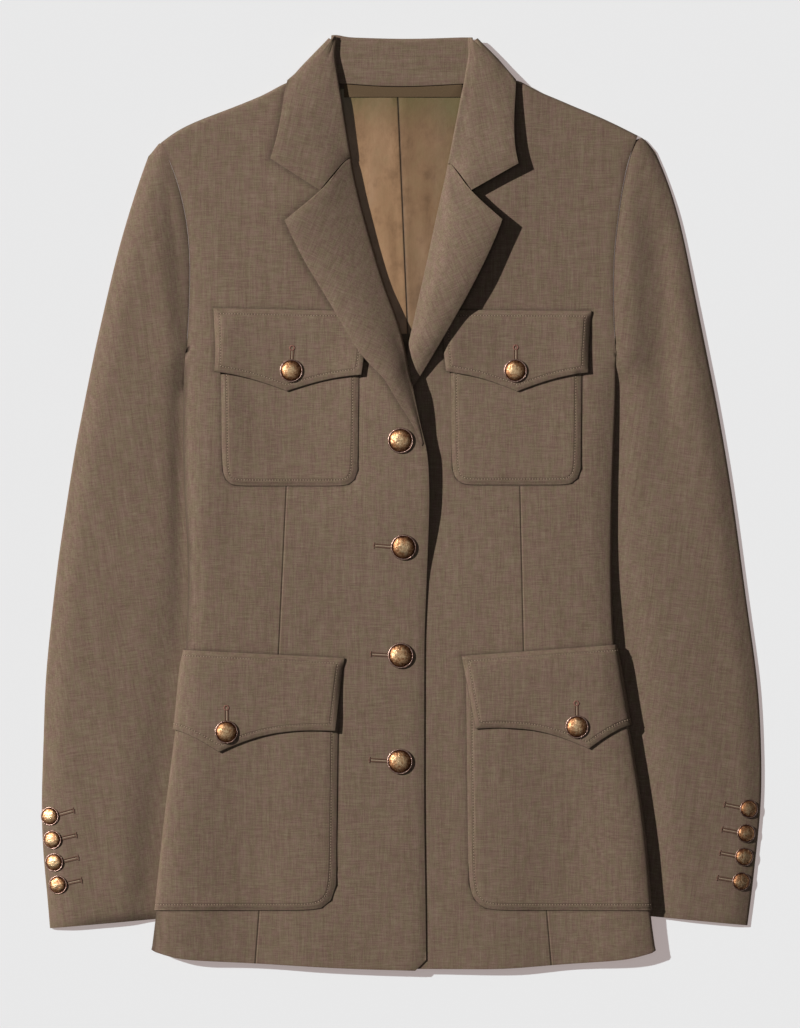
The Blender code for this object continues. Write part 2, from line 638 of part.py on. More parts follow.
def outline_turn(half, start, turn):
    """The collar's turn down round the shoulder, square to its outline there."""
    outward = Vector((half.sign, 1.0)).normalized()
    points = []
    for part in (0.33, 0.67, 1.0):
        angle = math.radians(turn * part)
        reach = COLLAR_TURN_RADIUS * math.sin(angle)
        drop = COLLAR_TURN_RADIUS * (1 - math.cos(angle))
        points.append((start[0] + outward.x * reach, start[1] + outward.y * reach, start[2] - drop))
    return points


def add_collar_leaf(half, wool):
    rows = []
    for row in half.leaf:
        top = leaf_roll_top(row.roll)
        roll_x = collar_roll(half, row.roll)
        points = roll_arc(half, roll_x, row.roll, top, row.wrap, COLLAR_ROLL_RADIUS, 2.5)
        if row is half.leaf[0]:
            points += leaf_front_row(half)
        else:
            points += leaf_row(half, row, top, points[-1])
        rows.append(points + outline_turn(half, points[-1], row.turn))
    sheet(f"collar_{half.name}", rows, COLLAR_WALL, wool)


def add_collar_back(wool):
    """The collar behind the neck: its fall lies underneath, and its stand faces up."""
    radius = STAND_LOW / 2
    rows = []
    for row in COLLAR_BACK:
        fold_y = row.fold_y - radius
        points = []
        for part in (1.0, 0.5):
            height = mix(STAND_LOW, STAND_HIGH, part)
            points.append((mix(row.fold_x, row.base_x, part), mix(fold_y, row.base_y, part), height))
        for angle in (0, 45, 90, 135, 180):
            turn = math.radians(angle)
            points.append((row.fold_x, fold_y + radius * math.sin(turn), radius + radius * math.cos(turn)))
        for part in (0.5, 1.0):
            points.append((mix(row.fold_x, row.end_x, part), mix(fold_y, row.end_y, part), 0.0))
        rows.append(points)
    sheet("collar_back", rows, COLLAR_WALL, wool, face_up=False)


# Lining


def lining_limit(half, y):
    """How far the lining goes under the roll line."""
    roll = collar_roll(half, y) if y > half.leaf[0].roll else read(half.edge, "x", y)
    return roll + half.sign * 7


def lining_top(x, y):
    return underside(x, y) + BODY_WALL + GAP + LINING_WALL


def add_lining(half, satin):
    rows = []
    for y in (322.4, 303, 270, 232, 202, 172, 150, 138, 130):
        seam = mix(3.6, -4.2, (y - 137) / 184) + half.sign * GAP / 2
        places = [mix(seam, lining_limit(half, y), part) for part in (0, 0.33, 0.67, 1)]
        rows.append([(x, y, lining_top(x, y)) for x in places])
    sheet(f"lining_{half.name}", rows, LINING_WALL, satin)


def add_neck_band(cloth):
    rows = []
    for part in (0, 0.5, 1):
        points = []
        for x in (-46, -23, 0, 23, 46):
            y = mix(read(COLLAR_BACK, "base_y", x, "base_x") - 0.5, 315, part)
            points.append((x, y, lining_top(x, y) + GAP + BAND_WALL))
        rows.append(points)
    sheet("neck_band", rows, BAND_WALL, cloth)


# Pockets


def station(half, x, y):
    """How far in from the side fold a place on top of the body is."""
    return side_distance(half, x, y) - fold_radius(half, y)


def flap_length(flap, part):
    """Length of a flap, which comes to a point at its middle."""
    return flap.side + (flap.point - flap.side) * (1 - abs(part)) ** flap.power


def add_flap(name, half, flap, wraps, wool):
    """A flap: a row of places along its top, each with lengths down it."""
    level = flap.top - flap.side / 2
    middle = station(half, flap.centre, level)
    near, far = middle - flap.half, middle + flap.half
    columns = [s for s in top_stations(half, level) if near + 6 < s < far - 6]
    places = [near, middle, far] + [s for s in columns if abs(s - middle) > 4]
    if wraps:
        places += [-math.pi * fold_radius(half, level) - 22] + fold_stations(half, level)
    places.sort()
    rows = []
    for share in FLAP_ROWS:
        out = FLAP_TOP if share else POCKET_GAP + FLAP_WALL
        points = []
        for s in places:
            part = (s - middle) / flap.half
            taper = flap.taper * share * (part if part > 0 or not wraps else 0)
            y = flap.top + flap.slope * inward(half) * part * flap.half - flap_length(flap, part) * share
            curl = FLAP_CURL * ease(share) * (0.35 + 0.65 * ease(abs(part) * 1.6 - 0.6)) if s > 0 else 0.0
            points.append(body_point(half, s - taper, y, out + curl))
        rows.append(points)
    sheet(name, rows, FLAP_WALL, wool)


def bag_rows(bag):
    """Heights of a pocket's rows: close together round its lower corners."""
    corner = [bag.bottom + bag.radius * part for part in (0, 0.1, 0.4, 1)]
    if bag.outer is None:
        return corner + [y for y in BODY_ROWS if corner[-1] + 5 < y <= bag.top]
    return corner + [mix(corner[-1], bag.top, part) for part in (0.25, 0.5, 0.75, 1)]


def bag_columns(half, bag):
    """Which of the front's columns run down the whole pocket, clear of its rounded corners."""
    columns = range(len(TOP_STATIONS))
    for y in (bag.bottom, bag.top):
        places = top_stations(half, y)
        outer = 0.0 if bag.outer is None else station(half, bag.outer, y) + bag.radius + 3
        inner = station(half, bag.inner, y) - bag.radius - (4 if bag.outer is None else 17)
        columns = [k for k in columns if outer <= places[k] <= inner]
    return columns


def add_bag(name, half, bag, wool):
    """A patch pocket, whose sides lean in a little towards its top; a lower one goes round the side fold."""
    rows = []
    across = bag_columns(half, bag)
    for y in bag_rows(bag):
        above = min(y - bag.bottom, bag.radius)
        corner = bag.radius - math.sqrt(bag.radius ** 2 - (bag.radius - above) ** 2)
        lean = bag.slant * (1 - (y - bag.bottom) / (bag.top - bag.bottom))
        inner = station(half, bag.inner, y) - corner - lean
        if bag.outer is None:
            turn = math.pi * fold_radius(half, y)
            stations = [-turn - HIDDEN_BAG + corner, -turn - 22 + corner / 2] + fold_stations(half, y)
            stations += [top_stations(half, y)[k] for k in across] + [inner]
        else:
            outer = station(half, bag.outer, y) + corner + lean
            stations = [outer] + [top_stations(half, y)[k] for k in across] + [inner - 14, inner]
        rows.append([body_point(half, s, y, BAG_TOP) for s in stations])
    sheet(name, rows, BAG_WALL, wool)


def add_pockets(half, wool):
    add_bag(f"chest_pocket_{half.name}", half, half.bag, wool)
    add_flap(f"chest_flap_{half.name}", half, half.flap, False, wool)
    add_bag(f"lower_pocket_{half.name}", half, half.lower_bag, wool)
    add_flap(f"lower_flap_{half.name}", half, half.lower_flap, True, wool)


# Buttons


def button_profile(diameter):
    """Reach and level of each ring, from the foot of the shank to the top of the cap."""
    radius = diameter / 2
    height = diameter * BUTTON_HEIGHT
    plate, rim = height * 0.42, height * 0.62
    rings = [(radius * SHANK, 0.0), (radius * SHANK, plate), (radius * 0.92, plate + 0.2), (radius, rim),
             (radius * 0.88, rim + 0.3)]
    for angle in (30, 62):
        turn = math.radians(angle)
        rings.append((radius * 0.86 * math.cos(turn), rim + (height - rim) * math.sin(turn)))
    return rings, height


def add_button(name, diameter, foot, tilt, brass):
    """A domed metal button, turned about its axis: shank, plate, rim and cap."""
    profile, height = button_profile(diameter)
    bm = bmesh.new()
    rings = []
    for reach, level in profile:
        turns = [2 * math.pi * k / BUTTON_SIDES for k in range(BUTTON_SIDES)]
        spots = [Vector((reach * math.cos(turn), reach * math.sin(turn), level)) for turn in turns]
        rings.append([bm.verts.new(spot * MM) for spot in spots])
    crown = bm.verts.new(Vector((0, 0, height)) * MM)
    bm.faces.new(list(reversed(rings[0])))
    for k in range(BUTTON_SIDES):
        after = (k + 1) % BUTTON_SIDES
        for low, high in zip(rings, rings[1:]):
            bm.faces.new((low[k], low[after], high[after], high[k]))
        bm.faces.new((rings[-1][k], rings[-1][after], crown))
    item = add_object(name, bm, brass)
    item.matrix_world = Matrix.Translation(Vector(foot) * MM) @ tilt
    return item


def add_buttons(brass):
    level = Matrix.Identity(4)
    for number, spot in enumerate(FRONT_BUTTONS, 1):
        foot = (spot.x, spot.y, front_top(RIGHT, spot.x, spot.y) + 0.6)
        add_button(f"front_button_{number}", FRONT_BUTTON, foot, level, brass)
    for number, spot in enumerate(POCKET_BUTTONS, 1):
        half = RIGHT if spot.x < 0 else LEFT
        foot = (spot.x, spot.y, front_top(half, spot.x, spot.y) + FLAP_TOP + FLAP_CURL * 0.35 + 0.5)
        add_button(f"pocket_button_{number}", POCKET_BUTTON, foot, level, brass)
    for half in HALVES:
        tilt = Matrix.Rotation(half.sign * CUFF_TILT, 4, "Y")
        for number, spot in enumerate(CUFF_BUTTONS[half.name], 1):
            foot = (spot.x, spot.y, SLEEVE_HIGH + fold_height(spot.x, spot.y) + 0.9)
            add_button(f"cuff_button_{half.name}_{number}", CUFF_BUTTON, foot, tilt, brass)


def build():
    clear_scene()
    wool = finish("wool", WOOL, 0.9)
    satin = finish("satin", SATIN, 0.5)
    band = finish("neck band", BAND, 0.8)
    brass = finish("antiqued brass", BRASS, 0.4, 1.0)
    for half in HALVES:
        add_front(half, wool)
        add_sleeves(half, wool)
        add_lapel(half, wool)
        add_collar_leaf(half, wool)
        add_pockets(half, wool)
        add_lining(half, satin)
    add_back(wool)
    add_collar_back(wool)
    add_neck_band(band)
    add_buttons(brass)


build()
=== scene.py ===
"""Dresses the wool blazer that lies flat on its back: cloth, weave, seams, stitches, buttons and light.

+Y runs from hem to collar and +Z up from the floor. Lengths in tables are in millimetres.
Right and left are the wearer's: the right half is at -X.
"""

import math
from collections import namedtuple

import bmesh
import bpy
import numpy as np
from mathutils import Matrix, Vector
from mathutils.bvhtree import BVHTree
from mathutils.kdtree import KDTree


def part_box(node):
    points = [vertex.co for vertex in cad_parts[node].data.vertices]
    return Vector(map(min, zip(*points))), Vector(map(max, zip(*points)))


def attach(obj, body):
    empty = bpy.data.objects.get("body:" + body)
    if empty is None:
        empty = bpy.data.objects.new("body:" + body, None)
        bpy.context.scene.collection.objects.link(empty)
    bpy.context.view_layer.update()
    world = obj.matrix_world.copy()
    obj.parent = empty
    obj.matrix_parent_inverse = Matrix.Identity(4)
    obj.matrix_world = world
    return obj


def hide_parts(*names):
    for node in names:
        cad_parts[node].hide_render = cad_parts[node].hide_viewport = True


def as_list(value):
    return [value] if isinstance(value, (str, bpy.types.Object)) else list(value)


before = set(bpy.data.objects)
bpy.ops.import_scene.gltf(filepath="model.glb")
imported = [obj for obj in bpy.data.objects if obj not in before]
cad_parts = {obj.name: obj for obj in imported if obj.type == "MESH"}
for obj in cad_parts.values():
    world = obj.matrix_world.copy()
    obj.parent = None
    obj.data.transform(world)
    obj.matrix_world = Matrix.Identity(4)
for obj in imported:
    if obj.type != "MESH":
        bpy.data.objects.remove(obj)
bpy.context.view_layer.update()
MM = 0.001

# Camera, light and floor; the lamps' distances and sizes, the floor's and the clipping are in metres
IMAGE_HEIGHT = 1028
PIXEL = 0.78
CENTRE = (-2.34, -9.75)
CAMERA_HEIGHT = 6000.0
SENSOR = 36.0
SUN_ELEVATION, SUN_TURN = 34.0, 23.0
SUN_POWER = 5.02
SUN_SIZE = 1.1
FLOOR_SUN_ELEVATION, FLOOR_SUN_SIZE = 40.0, 1.6
KEY_DISTANCE = 7.0
KEY_COLOUR = (1.0, 0.985, 0.965)
SKY = (0.052, 0.052, 0.056)
SOFT_BOX, SOFT_BOX_HEIGHT, SOFT_BOX_POWER = 3.6, 7.0, 34.0
FLOOR_REACH = 12.0
FLOOR_LEVEL = -0.15
CLIP = (0.1, 20.0)

# Colours, linear
WOOL_ROSY = ((0.107, 0.064, 0.046), (0.168, 0.110, 0.083), (0.254, 0.176, 0.138))
WOOL_OLIVE = ((0.095, 0.067, 0.040), (0.150, 0.111, 0.071), (0.226, 0.174, 0.121))
WOOL_SHEEN = (0.80, 0.74, 0.62, 1)
THREAD = (0.350, 0.258, 0.182)
SATIN = ((0.150, 0.083, 0.039), (0.262, 0.150, 0.076), (0.350, 0.208, 0.112))
SATIN_OLIVE = (0.112, 0.087, 0.030)
# The two lining pieces are one satin, painted lighter on the right piece and darker on the left piece, as
# light and shade
SATIN_PAINTED_LIGHT_AND_SHADE = {"lining_right": 1.07, "lining_left": 0.76}
NECK_BAND = (0.100, 0.064, 0.033)
HOLE_COLOURS = {"buttonhole_thread": (0.105, 0.055, 0.036), "buttonhole_bar": (0.130, 0.072, 0.052),
                "buttonhole_eyelet": (0.200, 0.090, 0.068), "buttonhole_gimp": THREAD}
FLOOR = (0.470, 0.538, 0.560)
FLOOR_GLOW = (0.336, 0.274, 0.262)
BRASS = ((0.090, 0.034, 0.018), (0.42, 0.200, 0.092), (0.84, 0.62, 0.36))
RIM = ((0.070, 0.030, 0.022), (0.25, 0.130, 0.095), (0.52, 0.36, 0.30))

# Noises by how they are stretched, places of colours in ramps, and the lines of seams and stitches
Noise = namedtuple("Noise", "scale detail rough", defaults=(0.5,))
ACROSS, ALONG = Noise((95, 1500, 1500), 2), Noise((1450, 75, 1450), 2)
SPECK, STREAK = Noise((1900, 1900, 1900), 1, 0.6), Noise((330, 13, 330), 2)
PATCH = Noise((210, 130, 210), 3, 0.65)
WEAVE = (9000, 9000, 9000)
WEAVE_HEIGHT, TONE_HEIGHT = 0.03, 0.10
SATIN_THREADS = Noise((1600, 60, 1600), 2)
SATIN_CLOUD, SATIN_WRINKLE = Noise((62, 50, 60), 5, 0.68), Noise((95, 76, 90), 3)
YARN, YARN_SHADES = Noise((2400, 2400, 2400), 2), (0.72, 1.3)
PATINA, FINE_PATINA = Noise((420, 420, 420), 4, 0.7), Noise((1500, 1500, 1500), 3, 0.6)
WOOL_TONES, SATIN_TONES = (0.2, 0.5, 0.8), (0.26, 0.5, 0.76)
BRASS_TONES, RIM_TONES = (0.24, 0.52, 0.86), (0.26, 0.5, 0.78)
OLIVE_TOP, OLIVE_SIDE = (284, 322), (20, 56)
# A line's width, the depth of its groove, and how much its colour is darkened: painted shade in the grooves
# of seams and stitches, and along the outline
Line = namedtuple("Line", "width depth dark")
STITCH_LINES = (Line(1.5, 0.42, 0.0), Line(0.8, 0.0, 0.34))
SEAM_LINES = (Line(1.3, 0.5, 0.0), Line(0.5, 0.25, 0.35))
# Painted shade along each wool piece's outline: its inset and width, then how dark it is on stitched and on
# plain pieces
EDGE_INSET, EDGE_WIDTH = 0.15, 0.8
STITCHED_EDGE_SHADE, PLAIN_EDGE_SHADE = 0.62, 0.35

# Shells: rounding of their edges, weld distance, angles up to which triangles are joined and beyond which
# edges are rounded and kept, and how near to what lies on them the fronts are refined
EDGE_ROUND = 0.42
WELD = 0.02
JOINED, SHARP, KEPT = 40, 62, 15
REFINED = (8.0, 4.0)

# Stitches: distance from the outline and apart, size, and the fewest points of a line that has them
STITCH_INSET = 4.7
STITCH_PITCH = 2.2
STITCH_LENGTH, STITCH_WIDTH, STITCH_SINK = 1.2, 0.7, 0.02
STITCH_SHAPE, STITCH_HEIGHT = ((-1, 0.25), (-0.45, 1.0), (0.45, 1.0), (1, 0.25)), 1.3
SHORTEST_LINE = 12

# Sheets of cloth: cut in metres and square metres, levels of smoothing, grain in degrees, what each one rests
# on, and its slot if it isn't of wool
Sheet = namedtuple("Sheet", "width length area levels grain rests slot", defaults=("wool",))
SHEETS = {name: Sheet(*row) for name, row in {
    "front_right": (0.290, 0.704, 0.149, 2, 0, "back"),
    "front_left": (0.285, 0.704, 0.149, 2, 0, "back"),
    "back": (0.375, 0.702, 0.184, 2, 0, "floor"),
    "sleeve_right_upper": (0.155, 0.612, 0.066, 2, -8, "sleeve_right_under"),
    "sleeve_right_under": (0.155, 0.612, 0.066, 1, -8, "floor"),
    "sleeve_left_upper": (0.155, 0.612, 0.066, 2, 8, "sleeve_left_under"),
    "sleeve_left_under": (0.155, 0.612, 0.066, 1, 8, "floor"),
    "lapel_right": (0.080, 0.262, 0.0098, 2, 24, "front_right"),
    "lapel_left": (0.070, 0.240, 0.0077, 2, -24, "front_left"),
    "collar_right": (0.070, 0.120, 0.0053, 2, 12, "front_right"),
    "collar_left": (0.070, 0.120, 0.0051, 2, -12, "front_left"),
    "collar_back": (0.175, 0.100, 0.0120, 2, 90, "floor"),
    "chest_pocket_right": (0.110, 0.128, 0.0139, 3, 0, "front_right"),
    "chest_pocket_left": (0.105, 0.127, 0.0131, 3, 0, "front_left"),
    "chest_flap_right": (0.120, 0.066, 0.0069, 3, 0, "chest_pocket_right"),
    "chest_flap_left": (0.118, 0.065, 0.0066, 3, 0, "chest_pocket_left"),
    "lower_pocket_right": (0.200, 0.184, 0.0345, 3, 0, "front_right"),
    "lower_pocket_left": (0.200, 0.184, 0.0347, 3, 0, "front_left"),
    "lower_flap_right": (0.190, 0.084, 0.0124, 3, 0, "lower_pocket_right"),
    "lower_flap_left": (0.186, 0.086, 0.0120, 3, 0, "lower_pocket_left"),
    "lining_right": (0.061, 0.193, 0.0070, 3, 0, "back", "satin"),
    "lining_left": (0.058, 0.193, 0.0067, 3, 0, "back", "satin"),
    "neck_band": (0.093, 0.012, 0.0010, 3, 90, "lining_right", "neck band"),
}.items()}
STITCHED = ("chest_pocket", "chest_flap", "lower_pocket", "lower_flap")

# What lies on each kind of piece, on its own half
ABOVE = {
    "front": ("chest_pocket", "chest_flap", "lower_pocket", "lower_flap", "lapel", "collar"),
    "chest_pocket": ("chest_flap", "lapel"),
    "chest_flap": ("lapel",),
    "lower_pocket": ("lower_flap",),
}

# Seams that run down the fronts: where each one starts and ends, and the level that they show above
Seam = namedtuple("Seam", "x1 y1 x2 y2")
DARTS = {
    "front_right": [Seam(-90.5, 14, -96.7, -120), Seam(-96.7, -120, -115.0, -362)],
    "front_left": [Seam(91.3, 12, 94.1, -116), Seam(94.1, -116, 115.9, -362)],
}
SEAM_LEVEL, FAR_OFF = 5.2, 10

# Creases of the cloth: a soft ridge or trough along a line, with its height at the middle
Crease = namedtuple("Crease", "x1 y1 x2 y2 width height")
CREASE_TAPER = 0.6
CREASES = [Crease(*row) for row in (
    (-176, -322, -128, -312, 7, 0.8), (-168, -338, -150, -352, 6, -0.7), (-140, -330, -118, -352, 8, 0.6),
    (110, -318, 176, -344, 7, 0.8), (150, -338, 190, -326, 6, -0.6), (128, -346, 118, -360, 7, -0.4),
    (-184, 256, -176, 200, 6, -0.9), (-174, 204, -173, 110, 6, -1.2), (-173, 110, -173, -110, 6, -1.4),
    (-160, 24, -158, -74, 26, 1.6), (-142, 146, -140, 30, 17, 1.1), (-220, -196, -214, -326, 18, 1.4),
    (188, -215, 194, -335, 24, 1.5), (-194, 236, -185, 150, 9, 0.9), (-184, 150, -184, -60, 9, 1.2),
    (180, 236, 178, 60, 9, 1.0), (204, 236, 204, 20, 10, -1.3), (178, 60, 176, -70, 8, 0.7),
    (-150, 128, -120, 152, 9, 0.4), (148, 122, 118, 150, 9, 0.4), (-120, -240, -60, -205, 10, 0.45),
    (-150, -262, -110, -280, 9, -0.35), (70, -226, 130, -258, 11, 0.4), (-128, 88, -108, 62, 9, -0.5),
    (-70, 40, -52, 66, 8, 0.35), (60, 76, 96, 40, 10, 0.4), (-96, 8, -100, -112, 5, -0.4),
    (92, 8, 94, -112, 5, -0.3), (-30, -60, -74, -84, 12, 0.4), (34, -70, 70, -50, 12, 0.35),
    (190, -18, 214, -30, 6, 0.6), (188, -26, 206, -44, 5, -0.5), (-214, -30, -190, -52, 8, 0.5),
    (-222, 60, -196, 30, 9, 0.4), (-262, -200, -240, -260, 9, 0.5), (236, -190, 252, -262, 9, 0.5),
    (206, 120, 226, 60, 8, 0.45), (-228, -296, -196, -286, 7, 0.5), (228, -292, 252, -300, 7, 0.4),
    (-78, 250, -120, 286, 12, 0.35), (96, 270, 140, 286, 12, 0.3),
)]
LINING_CREASES = [Crease(*row) for row in (
    (-30, 300, -10, 180, 5, 0.54), (-36, 262, -22, 210, 4, -0.48), (-20, 318, -8, 262, 4, 0.42),
    (-14, 228, -6, 150, 3.5, 0.48), (22, 312, 30, 240, 5, -0.54), (12, 268, 20, 172, 4, 0.54),
    (34, 300, 24, 262, 4, 0.42), (8, 300, 14, 240, 3.5, -0.36), (-3, 318, 4, 140, 2.4, 0.54),
)]
DEEPEST_LINING_CREASE = 0.3
BACK_CREASES = [Crease(*row) for row in (
    (-60, 250, -20, 60, 16, 0.5), (70, 220, 36, 20, 14, 0.45), (-90, -40, -40, -200, 18, 0.5),
    (80, -60, 50, -260, 16, 0.5), (0, 130, 10, -120, 12, 0.35),
)]
GRAIN_HEIGHT = 0.05

# Levels over which the creases set in, so that what rests underneath keeps its place
CREASED_FROM = (3.4, 5.4)
LINING_CREASED_FROM = (1.6, 2.2)
BACK_CREASED_FROM = (-1.4, -0.2)

# How cloth is drawn down along what is sewn to it and laid on it, and the width of the soft shade there
Sink = namedtuple("Sink", "depth width shade")
SEWN, LAID = Sink(0.34, 2.4, 1.5), Sink(0.6, 3.6, 2.6)
TOP_LEVEL = 7.6
SHADE_DEPTH = 0.34

# Pressed edges: how much thinner, and how far in from the outline
Press = namedtuple("Press", "depth width")
FRONT_EDGE, STITCHED_EDGE, POCKET_EDGE = Press(0.8, 6), Press(0.6, 3.2), Press(0.5, 3.6)
SLEEVE_ARMHOLE, FRONT_ARMHOLE = Press(0.85, 4.5), Press(0.4, 2.4)
WALL_PRESSED = 0.9
FRONT_EDGE_SIDE, FRONT_EDGE_LEVELS = (4, 9), (-70, -25)
ARMHOLE_LEVELS, ARMHOLE_SIDE, ARMHOLE_END = (96, 112), (140, 150), (206, 216)
SLEEVE_EDGE = 6
SLEEVE_FOLD_SHARE, SLEEVE_FOLD_WIDTH = 0.42, 9
OUTER_STEP, OUTER_BAND = 8, 6

# The body: levels and places of its side folds, how far its sides come down, and the loft of its middle
RIGHT_FOLD = ((-350, -320, -275, -221, -175, -138, -113, -70, -33, 4, 50, 79, 114),
              (196, 192.5, 187.8, 181.6, 175.4, 172, 169.2, 167.8, 168, 170.8, 171.8, 171.6, 170.4))
LEFT_FOLD = ((-350, -320, -266, -221, -175, -138, -114, -70, -25, 35, 79, 114),
             (197, 193, 188.6, 182.6, 174.8, 168.6, 165, 163, 163, 164.5, 166, 166.6))
SIDE_DROP, SIDE_WIDTH, SIDE_LEVELS = 1.3, 10, (84, 116)
LOFT, LOFT_LEVELS, LOFT_SIDE, LOFT_FROM = 5.6, (-170, 150), (76, 150), (2.2, 3.4)

# The lift by the top button: height, the levels where it starts, is full and ends, and its reach across
LIFT, LIFT_LEVELS, LIFT_SIDE = 3.6, (-62, 4, 66, 128), (-95, -10)
LIFTED = ("front_right", "lapel_right", "chest_pocket_right", "chest_flap_right")

# The left lapel: its roll line, its outer edge by level, the gorge seam, its swell by level, and its lift
LEFT_ROLL = ((114, 214), (2.0, 23.94))
LAPEL_OUTER = ((70, 90, 106, 122.6, 136.5, 157.5, 178.5, 198.5, 214, 219.6, 230.6, 241.7, 262.5),
               (-5, 8.5, 18.5, 28.5, 36.5, 48.5, 59.5, 69.1, 75.4, 77.3, 65, 52.6, 36))
GORGE_X, GORGE_Y, GORGE_SLOPE, GORGE_REACH = 34.6, 262.5, 1.1556, 30
SWELL = ((95, 120, 140, 165), (0.0, 1.69, 3.25, 4.42))
SWELL_RISE = 0.32
LAPEL_LIFT, LAPEL_LIFT_LEVELS = 2.2, (108, 132, 165, 208)

# The right lapel: its roll line by level, how it turns from the light, and how its lower end thins out
RIGHT_ROLL = ((46, 76, 114, 142, 190), (17.2, 10.2, 2.8, -4.0, -20.9))
TURN, TURN_LEVELS = 0.11, (100, 196)
END_DEPTH, END_LEVELS = 2.2, (46, 88)
TIP_SHIFT, TIP_LEVELS = 0.8, (43, 60)

# The collar's stand: its lean, the level that it leans from, and the heights over which that sets in
LEAN, LEAN_LEVEL, LEAN_FROM = 0.045, 360, (2.5, 4)

# Flaps: middle, height and slope of the top edge, depth, and how far the sides come down at top and bottom
Flap = namedtuple("Flap", "middle top slope depth high low")
FLAPS = {
    "chest_flap_right": Flap(-88.2, 149.8, -0.02, 50, 2.2, 0.3),
    "chest_flap_left": Flap(88.2, 149.2, -0.007, 48.5, 2.3, 1.8),
    "lower_flap_right": Flap(-138, -117, -0.051, 57, 2.3, 0.2),
    "lower_flap_left": Flap(136, -113.7, 0.072, 57, 2.3, 1.0),
}
DROOP_WIDTH = 9
DROOP_SIDE, DROOP_START, DROOP_CHANGE = (0.9, 1.05), (0.0, 0.16), (0.25, 1.0)

# Where cloth is drawn together about a place, with how far out and up on the right and on the left half,
# and about a level, from one distance out to another
Pull = namedtuple("Pull", "pieces x reach_x y reach_y out up_right up_left")
PULLS = [Pull(*row) for row in (
    ("sleeve", 189, 7, 277, 8, -1.2, 3.4, 3.4),
    (("collar_right", "collar_left"), 57, 8, 359, 8, -3.2, 2.6, 2.2),
    ("collar_back", 54, 8, 360, 9, 0.0, 2.4, 0.2),
)]
Draw = namedtuple("Draw", "pieces level reach start full out")
DRAWS = [Draw(("front", "back"), 114.5, 4.8, 146, 160, 3.0), Draw("sleeve", 107, 13, 186, 168, -2.4)]
NECK_X, NECK_REACH, NECK_LEVELS, NECK_RIGHT, NECK_LEFT = 91, 12, (300, 318), 2.0, 2.8

# Soft shade between the body and the right sleeve
SLEEVE_SHADE, SLEEVE_EDGE_SHADE, SLEEVE_SHADE_SIDE = 7, 1.6, (12, 40)
FOLD_SHADE, FOLD_SHADE_WIDTH, FOLD_SHADE_LEVELS = 1.5, 3.0, (104, 116)
ARMHOLE_SHADE, ARMHOLE_SHADE_LEVELS = 1.6, (100, 112)

# Buttons, in parts of their radius: level and thickness of the rolled rim, and reach and height of the dome
RIM_LEVEL, RIM_THICK, DOME_REACH, DOME_HEIGHT = 0.12, 0.062, 0.88, 0.30
BUTTON_SIDES, BUTTON_SINK = 48, 0.2

# Buttonholes by piece: where each one starts, by its button, and ends; then their gaps, lengths and threads
Hole = namedtuple("Hole", "x1 y1 x2 y2 eyelet")
HOLES = {
    "front_right": {"front_2": (-4, -35.6, -22.5, -34.2), "front_3": (-6, -120, -25.0, -118.8),
                    "front_4": (-6, -202.4, -26.0, -201.2)},
    "chest_flap_right": {"chest_right": (-87.0, 103, -86.2, 120.5)},
    "chest_flap_left": {"chest_left": (87.6, 103, 87.9, 121.0)},
    "lower_flap_right": {"lower_right": (-137.0, -178, -137.3, -159.5)},
    "lower_flap_left": {"lower_left": (135.3, -174, 134.9, -156.0)},
    "sleeve_right_upper": {
        "cuff_right_1": (-272, -244.9, -256.5, -240.6), "cuff_right_2": (-270, -263.4, -254.5, -259.8),
        "cuff_right_3": (-268, -281.0, -253.0, -277.4), "cuff_right_4": (-266, -298.4, -250.5, -295.0)},
    "sleeve_left_upper": {
        "cuff_left_1": (266, -239.3, 250.5, -236.0), "cuff_left_2": (264, -258.4, 248.5, -255.4),
        "cuff_left_3": (262, -276.7, 247.0, -273.7), "cuff_left_4": (260, -295.8, 245.0, -293.2)},
}
HOLE_GAP, EYELET_GAP, EYELET = 1.15, 1.7, 1.75
HOLE_STEP, BAR_LENGTH, EYELET_BACK, GIMP_END = 0.45, 4.6, 1.0, 1.2
EDGE_THREAD, BAR_THREAD, EYELET_THREAD, GIMP_THREAD = 0.36, 0.432, 0.45, 0.2
THREAD_RIDGE, THREAD_FLATNESS = 0.25, 1.35
OVERHEAD = 100.0


# Geometry helpers


def new_object(name, mesh):
    item = bpy.data.objects.new(name, mesh)
    bpy.context.scene.collection.objects.link(item)
    return item


def opened(mesh):
    bm = bmesh.new()
    bm.from_mesh(mesh)
    return bm


def object_of(name, bm):
    """An object made of what was built, with smooth faces."""
    mesh = bpy.data.meshes.new(name)
    bm.to_mesh(mesh)
    bm.free()
    mesh.polygons.foreach_set("use_smooth", [True] * len(mesh.polygons))
    return new_object(name, mesh)


def points_of(mesh):
    flat = np.empty(len(mesh.vertices) * 3)
    mesh.vertices.foreach_get("co", flat)
    return flat.reshape(-1, 3)


def move(item, change, *settings):
    """Moves the item's points by a function of them."""
    points = points_of(item.data)
    change(points, *settings)
    item.data.vertices.foreach_set("co", points.ravel())
    item.data.update()


def plan(points):
    """Where the points lie in plan, in mm: across the blazer and up it."""
    return points[:, 0] / MM, points[:, 1] / MM


def rise(value, low, high):
    """0 up to the low value and 1 from the high one on, softly between them."""
    share = np.clip((value - low) / (high - low), 0, 1)
    return share * share * (3 - 2 * share)


def hump(value, start, full, last, end):
    """Rises from 0 to 1, stays there, and falls back to 0."""
    return rise(value, start, full) * (1 - rise(value, last, end))


def bell(value, width):
    """1 at 0, falling softly off to both sides over about the width."""
    return np.exp(-((value / width) ** 2))


def applied(item):
    """The item's mesh with its modifiers worked out."""
    graph = bpy.context.evaluated_depsgraph_get()
    mesh = bpy.data.meshes.new_from_object(item.evaluated_get(graph))
    old = item.data
    item.modifiers.clear()
    item.data = mesh
    bpy.data.meshes.remove(old)
    return item


def joined_faces(start, left):
    """Takes out of those left the faces that join up with the first one."""
    found, waiting = {start}, [start]
    while waiting:
        for edge in waiting.pop().edges:
            for other in edge.link_faces:
                if other in left:
                    left.remove(other)
                    found.add(other)
                    waiting.append(other)
    return found


